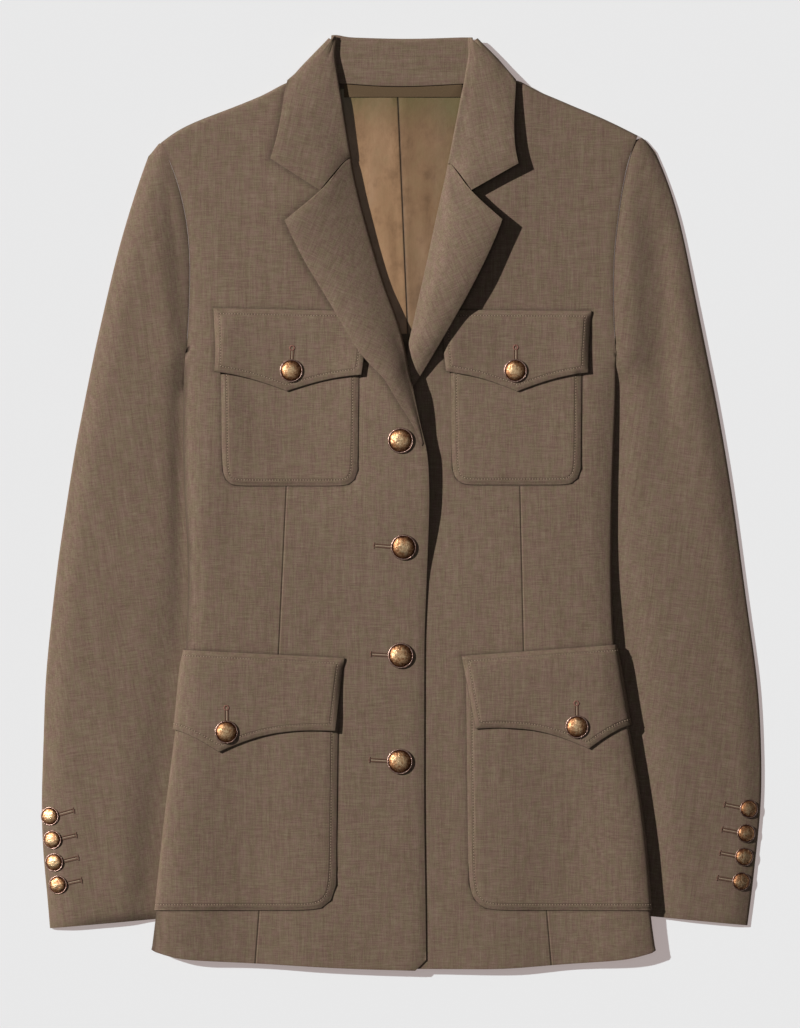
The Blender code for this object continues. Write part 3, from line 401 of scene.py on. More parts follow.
def outer_faces(bm, upward):
    """The cloth's right side: of its plain faces that join up, those that face up most, or down most."""
    left = {face for face in bm.faces if face.material_index == 0}
    level = (min if upward else max)(vert.co.z for vert in bm.verts)
    best, most = set(), 0.0
    while left:
        found = joined_faces(left.pop(), left)
        facing = sum(face.calc_area() * face.normal.z * (face.calc_center_median().z - level)
                     for face in found)
        if facing > most:
            best, most = found, facing
    return best


def outline_points(faces):
    """Points along the edge of the right side."""
    found = []
    for face in faces:
        for edge in face.edges:
            if any(other not in faces for other in edge.link_faces):
                first, last = (vert.co for vert in edge.verts)
                found += [first.copy(), (first + last) / 2]
    return found


def tree_of(points, flat=False):
    tree = KDTree(len(points))
    for index, point in enumerate(points):
        tree.insert((point[0], point[1], 0.0) if flat else point, index)
    tree.balance()
    return tree


def round_edges(bm):
    """Rounds the sharp edges, and keeps the edges of that rounding where the shell is smoothed."""
    sharp = [edge for edge in bm.edges
             if len(edge.link_faces) == 2 and edge.calc_face_angle(0) > math.radians(SHARP)]
    bmesh.ops.bevel(bm, geom=sharp, offset=EDGE_ROUND * MM, segments=2, profile=0.5, affect="EDGES",
                    clamp_overlap=True, material=1)
    crease = bm.edges.layers.float.new("crease_edge")
    for edge in bm.edges:
        rounded = any(face.material_index == 1 for face in edge.link_faces)
        if rounded and len(edge.link_faces) == 2 and edge.calc_face_angle(0) > math.radians(KEPT):
            edge[crease] = 1.0


def shell(node):
    """A thin shell of cloth on its solid's form, with rounded edges and smooth faces."""
    bm = opened(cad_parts[node].data)
    for face in bm.faces:
        face.material_index = 0
    bmesh.ops.remove_doubles(bm, verts=bm.verts, dist=WELD * MM)
    bmesh.ops.join_triangles(bm, faces=bm.faces, angle_face_threshold=math.radians(JOINED),
                             angle_shape_threshold=math.radians(180))
    round_edges(bm)
    item = object_of(f"cloth_{node}", bm)
    smooth = item.modifiers.new("Smooth", "SUBSURF")
    smooth.levels = smooth.render_levels = SHEETS[node].levels
    return applied(item)


def store(item, name, values):
    """Keeps a value for each point, for the materials and for what is done next."""
    item.data.attributes.new(name, "FLOAT", "POINT").data.foreach_set("value", values)


def mark_edge(item, upward):
    """Stores how far inside the outline each point lies, below zero on the walls; gives the outline."""
    bm = opened(item.data)
    outer = outer_faces(bm, upward)
    inside = {vert.index for face in outer for vert in face.verts}
    outline = outline_points(outer)
    tree = tree_of(outline)
    values = []
    for vert in bm.verts:
        away = tree.find(vert.co)[2] / MM
        values.append(EDGE_ROUND + (away if vert.index in inside else -away))
    bm.free()
    store(item, "edge", values)
    return outline


def refine(item, tree, reach):
    """Halves the faces of the cloth's upper side that lie close to an outline in plan."""
    bm = opened(item.data)
    near = set()
    for face in bm.faces:
        middle = face.calc_center_median()
        if face.normal.z > 0.5 and tree.find((middle.x, middle.y, 0.0))[2] < reach * MM:
            near.update(face.edges)
    bmesh.ops.subdivide_edges(bm, edges=list(near), cuts=1, use_grid_fill=True)
    bm.to_mesh(item.data)
    bm.free()


# How the cloth lies


def crease_height(points, creases):
    """Height of the creases at each point, in metres."""
    total = np.zeros(len(points))
    x, y = plan(points)
    for crease in creases:
        along = np.array((crease.x2 - crease.x1, crease.y2 - crease.y1))
        share = ((x - crease.x1) * along[0] + (y - crease.y1) * along[1]) / (along @ along)
        share = np.clip(share, 0, 1)
        away = np.hypot(x - crease.x1 - share * along[0], y - crease.y1 - share * along[1])
        taper = 1 - CREASE_TAPER * (2 * share - 1) ** 2
        total += crease.height * taper * bell(away, crease.width)
    return total * MM


def grain(points):
    """Slight unevenness of cloth, in metres: a sum of long waves that don't repeat within a panel."""
    x, y = plan(points)
    waves = np.sin(x / 11 + 1.7 * np.sin(y / 37)) * np.cos(y / 17 - x / 43)
    waves += 0.7 * np.sin(x / 23 - y / 29 + 2.1) * np.cos(y / 13 + 0.8 * np.sin(x / 19))
    return GRAIN_HEIGHT * waves * MM


def plan_distance(points, tree):
    """Distance in plan from each point to the nearest outline, in mm."""
    return np.array([tree.find((x, y, 0.0))[2] for x, y in points[:, :2]]) / MM


def edge_lift(points):
    """The right front stands off the left one by the top button, where its lapel starts to turn."""
    x, y = plan(points)
    return LIFT * MM * hump(y, *LIFT_LEVELS) * rise(x, *LIFT_SIDE)


def lapel_swell(points):
    """The left lapel rises quickly from its roll, and lies almost level from there to its outer edge."""
    x, y = plan(points)
    (low, high), (near, far) = LEFT_ROLL
    roll = near + (far - near) / (high - low) * (y - low)
    outer = np.interp(y, *LAPEL_OUTER)
    share = np.clip((x - roll) / np.maximum(outer - roll, 1), 0, 1)
    below = rise(GORGE_Y - GORGE_SLOPE * (x - GORGE_X) - y, 0, GORGE_REACH)
    swell = np.interp(y, *SWELL) * below * rise(share, 0.0, SWELL_RISE) * (1 - share)
    return (LAPEL_LIFT * hump(y, *LAPEL_LIFT_LEVELS) + swell) * MM


def lapel_end(points):
    """The right lapel's lower end turns away from the light, and thins out into the front."""
    x, y = plan(points)
    inward = np.maximum(np.interp(y, *RIGHT_ROLL) - x, 0)
    turned_away = TURN * inward * (1 - rise(y, *TURN_LEVELS))
    return MM * (turned_away - END_DEPTH * (1 - rise(y, *END_LEVELS)))


def body_loft(points):
    """The middle of the body lies as high as its side folds, from the chest down."""
    x, y = plan(points)
    height = LOFT * (1 - rise(y, *LOFT_LEVELS)) * (1 - rise(np.abs(x), *LOFT_SIDE))
    return height * MM * rise(points[:, 2] / MM, *LOFT_FROM)


def side_drop(points):
    """The body's sides come down softly to their folds."""
    x, y = plan(points)
    fold = np.where(x < 0, np.interp(y, *RIGHT_FOLD), np.interp(y, *LEFT_FOLD))
    near = bell(fold - np.abs(x), SIDE_WIDTH) * (1 - rise(y, *SIDE_LEVELS))
    return SIDE_DROP * MM * near * rise(points[:, 2] / MM, *CREASED_FROM)


def edges_of(item):
    edge = np.empty(len(item.data.vertices))
    item.data.attributes["edge"].data.foreach_get("value", edge)
    return edge


def press(points, edge, pressed, share):
    """Thins the cloth along its outline: fully on top, and not on its inner side."""
    near = bell(np.maximum(edge, 0), pressed.width) * np.clip(edge + WALL_PRESSED, 0, 1)
    points[:, 2] -= pressed.depth * MM * share * near


def press_edges(name, edge, points):
    """Pressed edges are thin: those of pockets and flaps, and the front edge from the second button down."""
    x, y = plan(points)
    if name == "front_right":
        press(points, edge, FRONT_EDGE, rise(x, *FRONT_EDGE_SIDE) * (1 - rise(y, *FRONT_EDGE_LEVELS)))
    elif name.startswith(STITCHED):
        press(points, edge, STITCHED_EDGE, 1)
    if "pocket" in name:
        points[:, 2] -= POCKET_EDGE.depth * MM * bell(np.maximum(edge, 0), POCKET_EDGE.width)
    armhole = rise(y, *ARMHOLE_LEVELS) * (1 - rise(np.abs(x), *ARMHOLE_END))
    if name.startswith("sleeve"):
        press(points, edge, SLEEVE_ARMHOLE, armhole)
    elif name.startswith("front"):
        press(points, edge, FRONT_ARMHOLE, armhole * rise(np.abs(x), *ARMHOLE_SIDE))


def droop_sides(name, edge, points):
    """A flap's side edges reach down to the front beside its pocket, and lift towards their lower corners."""
    if name not in FLAPS:
        return
    flap = FLAPS[name]
    x, y = plan(points)
    share = (flap.top + flap.slope * (x - flap.middle) - y) / flap.depth
    sideways = rise(np.abs(x - flap.middle), *(flap.depth * part for part in DROOP_SIDE))
    side = (1 - np.clip(edge / DROOP_WIDTH, 0, 1)) ** 2 * sideways
    down = flap.high + (flap.low - flap.high) * rise(share, *DROOP_CHANGE)
    points[:, 2] -= MM * side * down * rise(share, *DROOP_START)


def close_gaps(name, points):
    """Draws the cloth together at the underarms, neck, sleeve heads, collar corners and lapel's end."""
    x, y = plan(points)
    side, out = np.sign(x), np.abs(x)
    for draw in DRAWS:
        if name.startswith(draw.pieces):
            near = bell(y - draw.level, draw.reach) * rise(out, draw.start, draw.full)
            points[:, 0] += draw.out * MM * side * near
    for pull in PULLS:
        if name.startswith(pull.pieces):
            near = bell(out - pull.x, pull.reach_x) * bell(y - pull.y, pull.reach_y)
            points[:, 0] += pull.out * MM * side * near
            points[:, 1] += MM * np.where(x < 0, pull.up_right, pull.up_left) * near
    if name.startswith(("front", "back")):
        neck = bell(out - NECK_X, NECK_REACH) * rise(y, *NECK_LEVELS)
        points[:, 1] += MM * np.where(x < 0, NECK_RIGHT, NECK_LEFT) * neck
    elif name == "lapel_right":
        points[:, 0] -= TIP_SHIFT * MM * (1 - rise(y, *TIP_LEVELS))


def sinking(points, trees):
    """How far the cloth is drawn down along the outlines of what is sewn or pressed to it."""
    shares = [sink.depth * bell(plan_distance(points, tree), sink.width) for tree, sink in trees]
    return MM * np.maximum.reduce(shares) if shares else 0.0


def outer_distance(points):
    """Distance in plan of each point of a sleeve from the sleeve's outer fold, in mm."""
    x, y = plan(points)
    reach = np.abs(x)
    steps = np.arange(y.min(), y.max() + OUTER_STEP, OUTER_STEP)
    levels = [level for level in steps if (np.abs(y - level) < OUTER_BAND).any()]
    outer = [reach[np.abs(y - level) < OUTER_BAND].max() for level in levels]
    return np.interp(y, levels, outer) - reach


def press_sleeve(points):
    """A sleeve's outer fold is pressed flatter than the rest of it."""
    points[:, 2] *= 1 - SLEEVE_FOLD_SHARE * bell(outer_distance(points), SLEEVE_FOLD_WIDTH)


def side_shade(name, edge, points):
    """The soft shade between body and right sleeve, on the sleeve's inner side and the body's fold."""
    x, y = plan(points)
    inside = np.maximum(edge, 0)
    if name == "sleeve_right_upper":
        near = bell(inside, SLEEVE_SHADE) + 0.5 * bell(inside, SLEEVE_EDGE_SHADE)
        return near * rise(outer_distance(points), *SLEEVE_SHADE_SIDE)
    if name == "front_right":
        fold = bell(np.interp(y, *RIGHT_FOLD) + x, FOLD_SHADE_WIDTH) * (1 - rise(y, *FOLD_SHADE_LEVELS))
        armhole = rise(y, *ARMHOLE_SHADE_LEVELS) * rise(-x, *ARMHOLE_SIDE)
        return np.maximum(bell(inside, ARMHOLE_SHADE) * armhole, FOLD_SHADE * fold)
    return np.zeros(len(points))


def mark_shade(name, item, trees):
    """Stores how much of the soft shade beside what lies on it, or by the sleeve, each point gets."""
    points = points_of(item.data)
    shade = side_shade(name, edges_of(item), points)
    for tree, sink in trees:
        shade = np.maximum(shade, bell(plan_distance(points, tree), sink.shade))
    store(item, "shade", shade)


def crease_upper(points, name, edge, trees):
    """Creases what lies on top of the blazer; layers that lie on each other move together."""
    on_sleeve = name.startswith("sleeve")
    if on_sleeve:
        weight = 1 - bell(outer_distance(points), SLEEVE_EDGE)
    else:
        weight = rise(points[:, 2] / MM, *CREASED_FROM)
    moved = weight * (crease_height(points, CREASES) + grain(points) - sinking(points, trees))
    if name in LIFTED:
        moved += edge_lift(points)
    if not on_sleeve:
        moved += body_loft(points) - side_drop(points)
    droop_sides(name, edge, points)
    points[:, 2] += moved
    if name == "lapel_left":
        points[:, 2] += lapel_swell(points)
    elif name == "lapel_right":
        points[:, 2] += lapel_end(points)
    press_edges(name, edge, points)
    close_gaps(name, points)
    if on_sleeve:
        press_sleeve(points)


def crease_lining(points):
    weight = rise(points[:, 2] / MM, *LINING_CREASED_FROM)
    creased = np.maximum(crease_height(points, LINING_CREASES), -DEEPEST_LINING_CREASE * MM)
    points[:, 2] += weight * (creased + grain(points))


def lean_collar(points):
    """The collar's stand lies almost level behind the neck."""
    close_gaps("collar_back", points)
    below = np.maximum(LEAN_LEVEL * MM - points[:, 1], 0)
    points[:, 2] -= LEAN * below * rise(points[:, 2] / MM, *LEAN_FROM)


def crease_back(points):
    """Shallow creases in the underside of the back, which still rests on the floor between them."""
    close_gaps("back", points)
    weight = rise(-points[:, 2] / MM, *BACK_CREASED_FROM)
    points[:, 2] += weight * np.maximum(crease_height(points, BACK_CREASES), 0)


# Materials


def material(name):
    made = bpy.data.materials.new(name)
    made.use_nodes = True
    made.node_tree.nodes.clear()
    return made


def node(tree, kind, inputs=None, **settings):
    """A node with its settings, and its inputs set to values or joined to other nodes' sockets."""
    made = tree.nodes.new(kind)
    for key, value in settings.items():
        setattr(made, key, value)
    for key, value in (inputs or {}).items():
        if isinstance(value, bpy.types.NodeSocket):
            tree.links.new(value, made.inputs[key])
        else:
            made.inputs[key].default_value = value
    return made


def maths(tree, operation, a, b=0.0):
    return node(tree, "ShaderNodeMath", {0: a, 1: b, 2: 0.0}, operation=operation).outputs[0]


def times(tree, a, b):
    return maths(tree, "MULTIPLY", a, b)


def plus(tree, a, b):
    return maths(tree, "ADD", a, b)


def minus(tree, a, b):
    return maths(tree, "SUBTRACT", a, b)


def map_range(tree, value, start, end, low, high, **settings):
    """Takes a value from the range that starts and ends there to the one from low to high."""
    inputs = {"Value": value, "From Min": start, "From Max": end, "To Min": low, "To Max": high}
    return node(tree, "ShaderNodeMapRange", inputs, **settings).outputs[0]


def ramp(tree, value, places, colours):
    """Colours at their places along a value."""
    made = node(tree, "ShaderNodeValToRGB", {"Fac": value})
    band = made.color_ramp
    while len(band.elements) < len(places):
        band.elements.new(0.5)
    for element, place, colour in zip(band.elements, places, colours):
        element.position = place
        element.color = (*colour, 1)
    return made.outputs[0]


def mix(tree, share, first, second):
    """The first colour, going over into the second one by a share."""
    inputs = {"Factor": share, "A": first, "B": second}
    return node(tree, "ShaderNodeMix", inputs, data_type="RGBA").outputs["Result"]


def dimmed(tree, colour, share):
    return node(tree, "ShaderNodeVectorMath", {0: colour, 3: share}, operation="SCALE").outputs[0]


def stored(tree, name):
    """A value that each point of the mesh keeps."""
    return node(tree, "ShaderNodeAttribute", attribute_name=name).outputs["Fac"]


def bump(tree, height, strength, distance):
    """The surface's direction once it is raised by a height, whose full size is a distance in mm."""
    inputs = {"Height": height, "Strength": strength, "Distance": distance * MM}
    return node(tree, "ShaderNodeBump", inputs).outputs[0]


def surface(tree, normal, **inputs):
    """The material's shader and its output."""
    named = {key.replace("_", " "): value for key, value in inputs.items()}
    shader = node(tree, "ShaderNodeBsdfPrincipled", named)
    if normal is not None:
        tree.links.new(normal, shader.inputs["Normal"])
    node(tree, "ShaderNodeOutputMaterial", {"Surface": shader.outputs[0]})


def own_place(tree):
    """The object's own coordinates."""
    return node(tree, "ShaderNodeTexCoord").outputs["Object"]


def turned(tree, angle, scale):
    """The object's own coordinates, turned to the grain and stretched."""
    turn = {"Vector": own_place(tree), "Rotation": (0, 0, math.radians(angle))}
    stretch = {"Vector": node(tree, "ShaderNodeMapping", turn).outputs[0], "Scale": scale}
    return node(tree, "ShaderNodeMapping", stretch).outputs[0]


def noise(tree, angle, kind):
    place = turned(tree, angle, kind.scale)
    inputs = {"Vector": place, "Scale": 1.0, "Detail": kind.detail, "Roughness": kind.rough}
    return node(tree, "ShaderNodeTexNoise", inputs).outputs[0]


def blend(tree, parts):
    """Sum of noises about their middle, each times its weight, about one half."""
    total = 0.5
    for value, weight in parts:
        weighed = times(tree, minus(tree, value, 0.5), weight)
        total = plus(tree, weighed, total)
    return total


def seam_distance(tree, seam):
    """Distance from a straight seam in mm, within its length."""
    x, y, z = node(tree, "ShaderNodeSeparateXYZ", {0: own_place(tree)}).outputs
    line = map_range(tree, y, seam.y1 * MM, seam.y2 * MM, seam.x1, seam.x2)
    away = maths(tree, "ABSOLUTE", minus(tree, times(tree, x, 1 / MM), line))
    above = maths(tree, "GREATER_THAN", y, seam.y1 * MM)
    below = maths(tree, "LESS_THAN", y, seam.y2 * MM)
    under = maths(tree, "LESS_THAN", z, SEAM_LEVEL * MM)
    outside = plus(tree, plus(tree, above, below), under)
    return plus(tree, away, times(tree, outside, FAR_OFF))


def groove(tree, distance, width):
    """1 on a line, falling to 0 at a width from it."""
    return map_range(tree, distance, 0.0, width, 1.0, 0.0, interpolation_type="SMOOTHSTEP")


def grooves(tree, distance, lines):
    return [(groove(tree, distance, line.width), line.depth, line.dark) for line in lines]


def melange(tree, tone, hue):
    """The yarn's colour: dark to light threads, each mixed of a rosy and an olive brown."""
    rosy = ramp(tree, tone, WOOL_TONES, WOOL_ROSY)
    olive = ramp(tree, tone, WOOL_TONES, WOOL_OLIVE)
    share = ramp(tree, hue, (0.36, 0.64), ((0.0, 0.0, 0.0), (1.0, 1.0, 1.0)))
    return mix(tree, share, rosy, olive)


def wool(name, angle, stitched, seams, rim):
    """Plain-woven melange wool: fine uneven threads both ways, the lines of its seams and stitching with
    painted shade in their grooves, a painted shade line along its outline, and painted soft shade where its
    stored shade says.
    """
    made = material(name)
    tree = made.node_tree
    across = noise(tree, angle, ACROSS)
    along = noise(tree, angle, ALONG)
    speck = noise(tree, angle, SPECK)
    streak = noise(tree, angle, STREAK)
    tone = blend(tree, [(across, 0.56), (along, 0.5), (speck, 0.34), (streak, 0.2)])
    patch = noise(tree, angle, PATCH)
    hue = blend(tree, [(along, 0.6), (across, 0.5), (patch, 1.0)])
    waves = node(tree, "ShaderNodeVectorMath", {0: turned(tree, angle, WEAVE)}, operation="SINE")
    thread = node(tree, "ShaderNodeSeparateXYZ", {0: waves.outputs[0]}).outputs
    height = times(tree, times(tree, thread[0], thread[1]), WEAVE_HEIGHT)
    height = plus(tree, height, times(tree, tone, TONE_HEIGHT))
    edge = stored(tree, "edge")
    # Painted shade: the colour is darkened in a thin line along the outline, by the rim value
    lines = grooves(tree, plus(tree, edge, EDGE_INSET), [Line(EDGE_WIDTH, 0.0, rim)])
    if stitched:
        off = maths(tree, "ABSOLUTE", minus(tree, edge, STITCH_INSET))
        lines += grooves(tree, off, STITCH_LINES)
    for seam in seams:
        lines += grooves(tree, seam_distance(tree, seam), SEAM_LINES)
    beside = stored(tree, "shade")
    shade = minus(tree, 1.0, times(tree, beside, SHADE_DEPTH))
    # The lines' dark values paint shade into the colour
    for line, depth, dark in lines:
        if depth:
            height = minus(tree, height, times(tree, line, depth))
        if dark:
            light = minus(tree, 1.0, times(tree, line, dark))
            shade = times(tree, shade, light)
    colour = dimmed(tree, melange(tree, tone, hue), shade)
    surface(tree, bump(tree, height, 0.75, 1.0), Base_Color=colour, Roughness=0.92, Specular_IOR_Level=0.15,
            Sheen_Weight=0.05, Sheen_Roughness=0.5, Sheen_Tint=WOOL_SHEEN)
    return made


def satin(name, shade):
    """Lining satin: fine threads, soft creases and mottles, going olive up by the collar."""
    made = material(name)
    tree = made.node_tree
    fine = noise(tree, 0, SATIN_THREADS)
    cloud = noise(tree, 8, SATIN_CLOUD)
    wrinkle = noise(tree, -12, SATIN_WRINKLE)
    tone = blend(tree, [(fine, 0.12), (cloud, 0.75), (wrinkle, 0.25)])
    # The colour scaled by the piece's painted brightness
    tan = ramp(tree, tone, SATIN_TONES, [[part * shade for part in colour] for colour in SATIN])
    x, y, _ = node(tree, "ShaderNodeSeparateXYZ", {0: own_place(tree)}).outputs
    top = map_range(tree, y, OLIVE_TOP[0] * MM, OLIVE_TOP[1] * MM, 0.0, 0.95)
    side = map_range(tree, x, OLIVE_SIDE[0] * MM, OLIVE_SIDE[1] * MM, 0.0, 0.72)
    olive = plus(tree, plus(tree, top, side), times(tree, minus(tree, cloud, 0.5), 1.6))
    share = maths(tree, "MINIMUM", maths(tree, "MAXIMUM", olive, 0.0), 0.9)
    colour = mix(tree, share, tan, (*SATIN_OLIVE, 1))
    # Darker along the outline, where the centre seam shows as a dark line: partly the seam's own colour,
    # partly painted shade
    seam = times(tree, groove(tree, stored(tree, "edge"), 1.5), -0.8)
    colour = dimmed(tree, colour, plus(tree, seam, 1.0))
    height = plus(tree, times(tree, wrinkle, 0.7), times(tree, fine, 0.02))
    surface(tree, bump(tree, height, 0.7, 1.0), Base_Color=colour, Roughness=0.46, Specular_IOR_Level=0.42,
            Anisotropic=0.3, Sheen_Weight=0.1)
    return made


def plain_cloth(name, colour):
    """Thread or narrow tape: one colour, broken by its fine ridges."""
    made = material(name)
    tree = made.node_tree
    fine = noise(tree, 20, YARN)
    shades = [[part * share for part in colour] for share in YARN_SHADES]
    shown = ramp(tree, fine, (0.3, 0.7), shades)
    surface(tree, bump(tree, fine, 0.5, 0.3), Base_Color=shown, Roughness=0.85, Specular_IOR_Level=0.25)
    return made


def brass():
    """Antiqued brass: worn bright where it is handled, dark oxide in mottles; the rim is more coppery."""
    made = material("antiqued_brass")
    tree = made.node_tree
    patches = noise(tree, 0, PATINA)
    fine = noise(tree, 30, FINE_PATINA)
    worn, rim = stored(tree, "worn"), stored(tree, "rim")
    tone = blend(tree, [(patches, 1.25), (fine, 0.8), (worn, 0.75)])
    cap_colour = ramp(tree, tone, BRASS_TONES, BRASS)
    rim_colour = ramp(tree, tone, RIM_TONES, RIM)
    colour = mix(tree, rim, cap_colour, rim_colour)
    rough = map_range(tree, tone, 0.2, 0.8, 0.55, 0.33)
    height = plus(tree, times(tree, patches, 0.9), times(tree, fine, 0.22))
    surface(tree, bump(tree, height, 0.8, 0.6), Base_Color=colour, Metallic=1.0, Roughness=rough)
    return made


# Cloth


def faces_up(name):
    return name != "back" and not name.endswith("under")


def neighbours(name):
    """The piece and those that lie on it."""
    kind, _, side = name.rpartition("_")
    return [name] + [f"{other}_{side}" for other in ABOVE.get(kind, ())]


def on_top(outline):
    """The points of an outline that lie on top of the blazer, not those round its side folds."""
    return [point for point in outline if point.z > TOP_LEVEL * MM]


def shape_cloths():
    """Makes every shell of cloth and gives it its creases."""
    cloths = {name: shell(name) for name in SHEETS}
    fronts = [name for name in cloths if name.startswith("front")]
    outlines = {name: mark_edge(item, faces_up(name)) for name, item in cloths.items() if name not in fronts}
    for front in fronts:
        laid = [point for name in neighbours(front)[1:] for point in on_top(outlines[name])]
        tree = tree_of(laid, flat=True)
        for reach in REFINED:
            refine(cloths[front], tree, reach)
        mark_edge(cloths[front], True)
    for name, item in cloths.items():
        if name.startswith("lining"):
            move(item, crease_lining)
        elif name == "back":
            move(item, crease_back)
        elif name == "collar_back":
            move(item, lean_collar)
        elif not faces_up(name):
            move(item, press_sleeve)
        elif name != "neck_band":
            trees = [] if name.startswith("sleeve") else sinks_for(name, outlines)
            mark_shade(name, item, trees if name in fronts else [])
            move(item, crease_upper, name, edges_of(item), trees)
    return cloths


def sinks_for(name, outlines):
    """The outlines that the piece is drawn down along, in plan, each with how it is drawn down there."""
    sewn, laid = [], []
    for other in neighbours(name):
        if other in outlines:
            (laid if other.startswith(("lapel", "collar")) else sewn).extend(on_top(outlines[other]))
    return [(tree_of(points, flat=True), sink) for points, sink in ((sewn, SEWN), (laid, LAID)) if points]


def dress_cloth(name, item, pick):
    item.data.materials.clear()
    item.data.materials.append(pick(name, SHEETS[name]))
    item.data.polygons.foreach_set("material_index", [0] * len(item.data.polygons))
    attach(item, "root")
    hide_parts(name)


def cloth_materials():
    """Gives each piece of cloth its material, turned to its own grain."""
    # Each lining gets the satin with its painted light or shade
    made = {name: satin(name.replace("lining", "satin"), shade) for name, shade in SATIN_PAINTED_LIGHT_AND_SHADE.items()}
    made["neck_band"] = plain_cloth("neck_tape", NECK_BAND)

    def pick(name, sheet):
        if name in made:
            return made[name]
        stitched = name.startswith(STITCHED)
        turned_over = name.startswith(("lapel", "collar", "sleeve"))
        key = (sheet.grain, stitched, name if name in DARTS else "turned" if turned_over else "")
        if key not in made:
            label = f"wool_{sheet.grain}_{'stitched' if stitched else 'plain'}{key[2]}".replace("-", "m")
            # Painted shade line along the outline: strongest on stitched pieces, none on lapels, collars and
            # sleeves
            rim = STITCHED_EDGE_SHADE if stitched else 0.0 if turned_over else PLAIN_EDGE_SHADE
            made[key] = wool(label, sheet.grain, stitched, DARTS.get(name, ()), rim)
        return made[key]

    return pick


# Threads


def ring_about(bm, centre, side, normal, width, height, count):
    """An oval ring of points about a thread."""
    turns = [k * math.tau / count for k in range(count)]
    return [bm.verts.new(centre + side * width * math.cos(a) + normal * height * math.sin(a)) for a in turns]


def skin(bm, rings):
    """Faces from ring to ring of a thread, and one at each end."""
    count = len(rings[0])
    made = [bm.faces.new((low[k], low[(k + 1) % count], high[(k + 1) % count], high[k]))
            for low, high in zip(rings, rings[1:]) for k in range(count)]
    return made + [bm.faces.new(rings[0]), bm.faces.new(rings[-1][::-1])]


def surface_tree(item):
    return BVHTree.FromPolygons([vert.co for vert in item.data.vertices],
                                [tuple(face.vertices) for face in item.data.polygons])


def stitch_line(item):
    """The lines at the stitches' inset on a pocket or flap."""
    bm = opened(item.data)
    bm.verts.ensure_lookup_table()
    layer = bm.verts.layers.float["edge"]
    pieces = []
    for face in bm.faces:
        if face.normal.z < 0.25:
            continue
        crossing = []
        for edge in face.edges:
            a, b = edge.verts
            low, high = a[layer] - STITCH_INSET, b[layer] - STITCH_INSET
            if low * high < 0:
                crossing.append(a.co.lerp(b.co, low / (low - high)))
        if len(crossing) == 2:
            pieces.append(crossing)
    bm.free()
    return chain(pieces)


def chain(pieces):
    """Joins short pieces of line end to end."""
    ends = tree_of([end for piece in pieces for end in piece])
    used, lines = set(), []
    for first, piece in enumerate(pieces):
        if first in used:
            continue
        used.add(first)
        line = list(piece)
        for grow_end in (True, False):
            while True:
                tip = line[-1] if grow_end else line[0]
                found = ends.find_range(tip, WELD * MM)
                step = next((index for _, index, _ in found if index // 2 not in used), None)
                if step is None:
                    break
                used.add(step // 2)
                line.insert(len(line) if grow_end else 0, pieces[step // 2][1 - step % 2])
        lines.append(line)
    return lines


def spaced(line, pitch):
    """Points a pitch apart along a line, each with the line's direction there."""
    found = []
    carried = pitch / 2
    for a, b in zip(line, line[1:]):
        step = b - a
        length = step.length
        if length < 1e-7:
            continue
        while carried < length:
            found.append((a + step * (carried / length), step / length))
            carried += pitch
        carried -= length
    return found


def add_stitches(name, item, thread):
    """A stitch at each place along the line: a short raised thread, pointed at its ends."""
    ground = surface_tree(item)
    bm = bmesh.new()
    for line in stitch_line(item):
        if len(line) < SHORTEST_LINE:
            continue
        for place, direction in spaced(line, STITCH_PITCH * MM):
            _, normal, _, _ = ground.find_nearest(place)
            side = normal.cross(direction).normalized()
            centre = place - normal * STITCH_SINK * MM
            rings = []
            for along, swell in STITCH_SHAPE:
                base = centre + direction * along * STITCH_LENGTH / 2 * MM
                width = STITCH_WIDTH / 2 * MM * swell
                rings.append(ring_about(bm, base, side, normal, width, width * STITCH_HEIGHT, 4))
            skin(bm, rings)
    bmesh.ops.recalc_face_normals(bm, faces=bm.faces)
    made = object_of(name, bm)
    made.data.materials.append(thread)
    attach(made, "root")
    return made


# Buttons


def button_profile(radius):
    """Reach, level, wear and share of rim of each ring: shank, plate, rolled rim, groove and cap."""
    rim, thick, dome, height = (radius * part for part in (RIM_LEVEL, RIM_THICK, DOME_REACH, DOME_HEIGHT))
    rings = [(0.0, -rim, 0.2, 1.0), (radius * 0.3, -rim, 0.2, 1.0),
             (radius * 0.34, -radius * 0.02, 0.2, 1.0), (dome, rim * 0.1, 0.2, 1.0)]
    for angle in range(-60, 151, 35):
        turn = math.radians(angle)
        shine = 0.35 + 0.45 * max(0.0, math.sin(turn))
        rings.append((radius - thick + thick * math.cos(turn), rim + thick * math.sin(turn), shine, 1.0))
    rings.append((dome, rim - thick * 0.2, 0.0, 0.4))
    for angle in (8, 18, 29, 41, 54, 68, 80):
        turn = math.radians(angle)
        wear = 0.08 + 0.72 * math.sin(turn) ** 1.5
        rings.append((dome * math.cos(turn) ** 0.8, rim + height * math.sin(turn), wear, 0.0))
    rings.append((0.0, rim + height, 0.85, 0.0))
    return rings


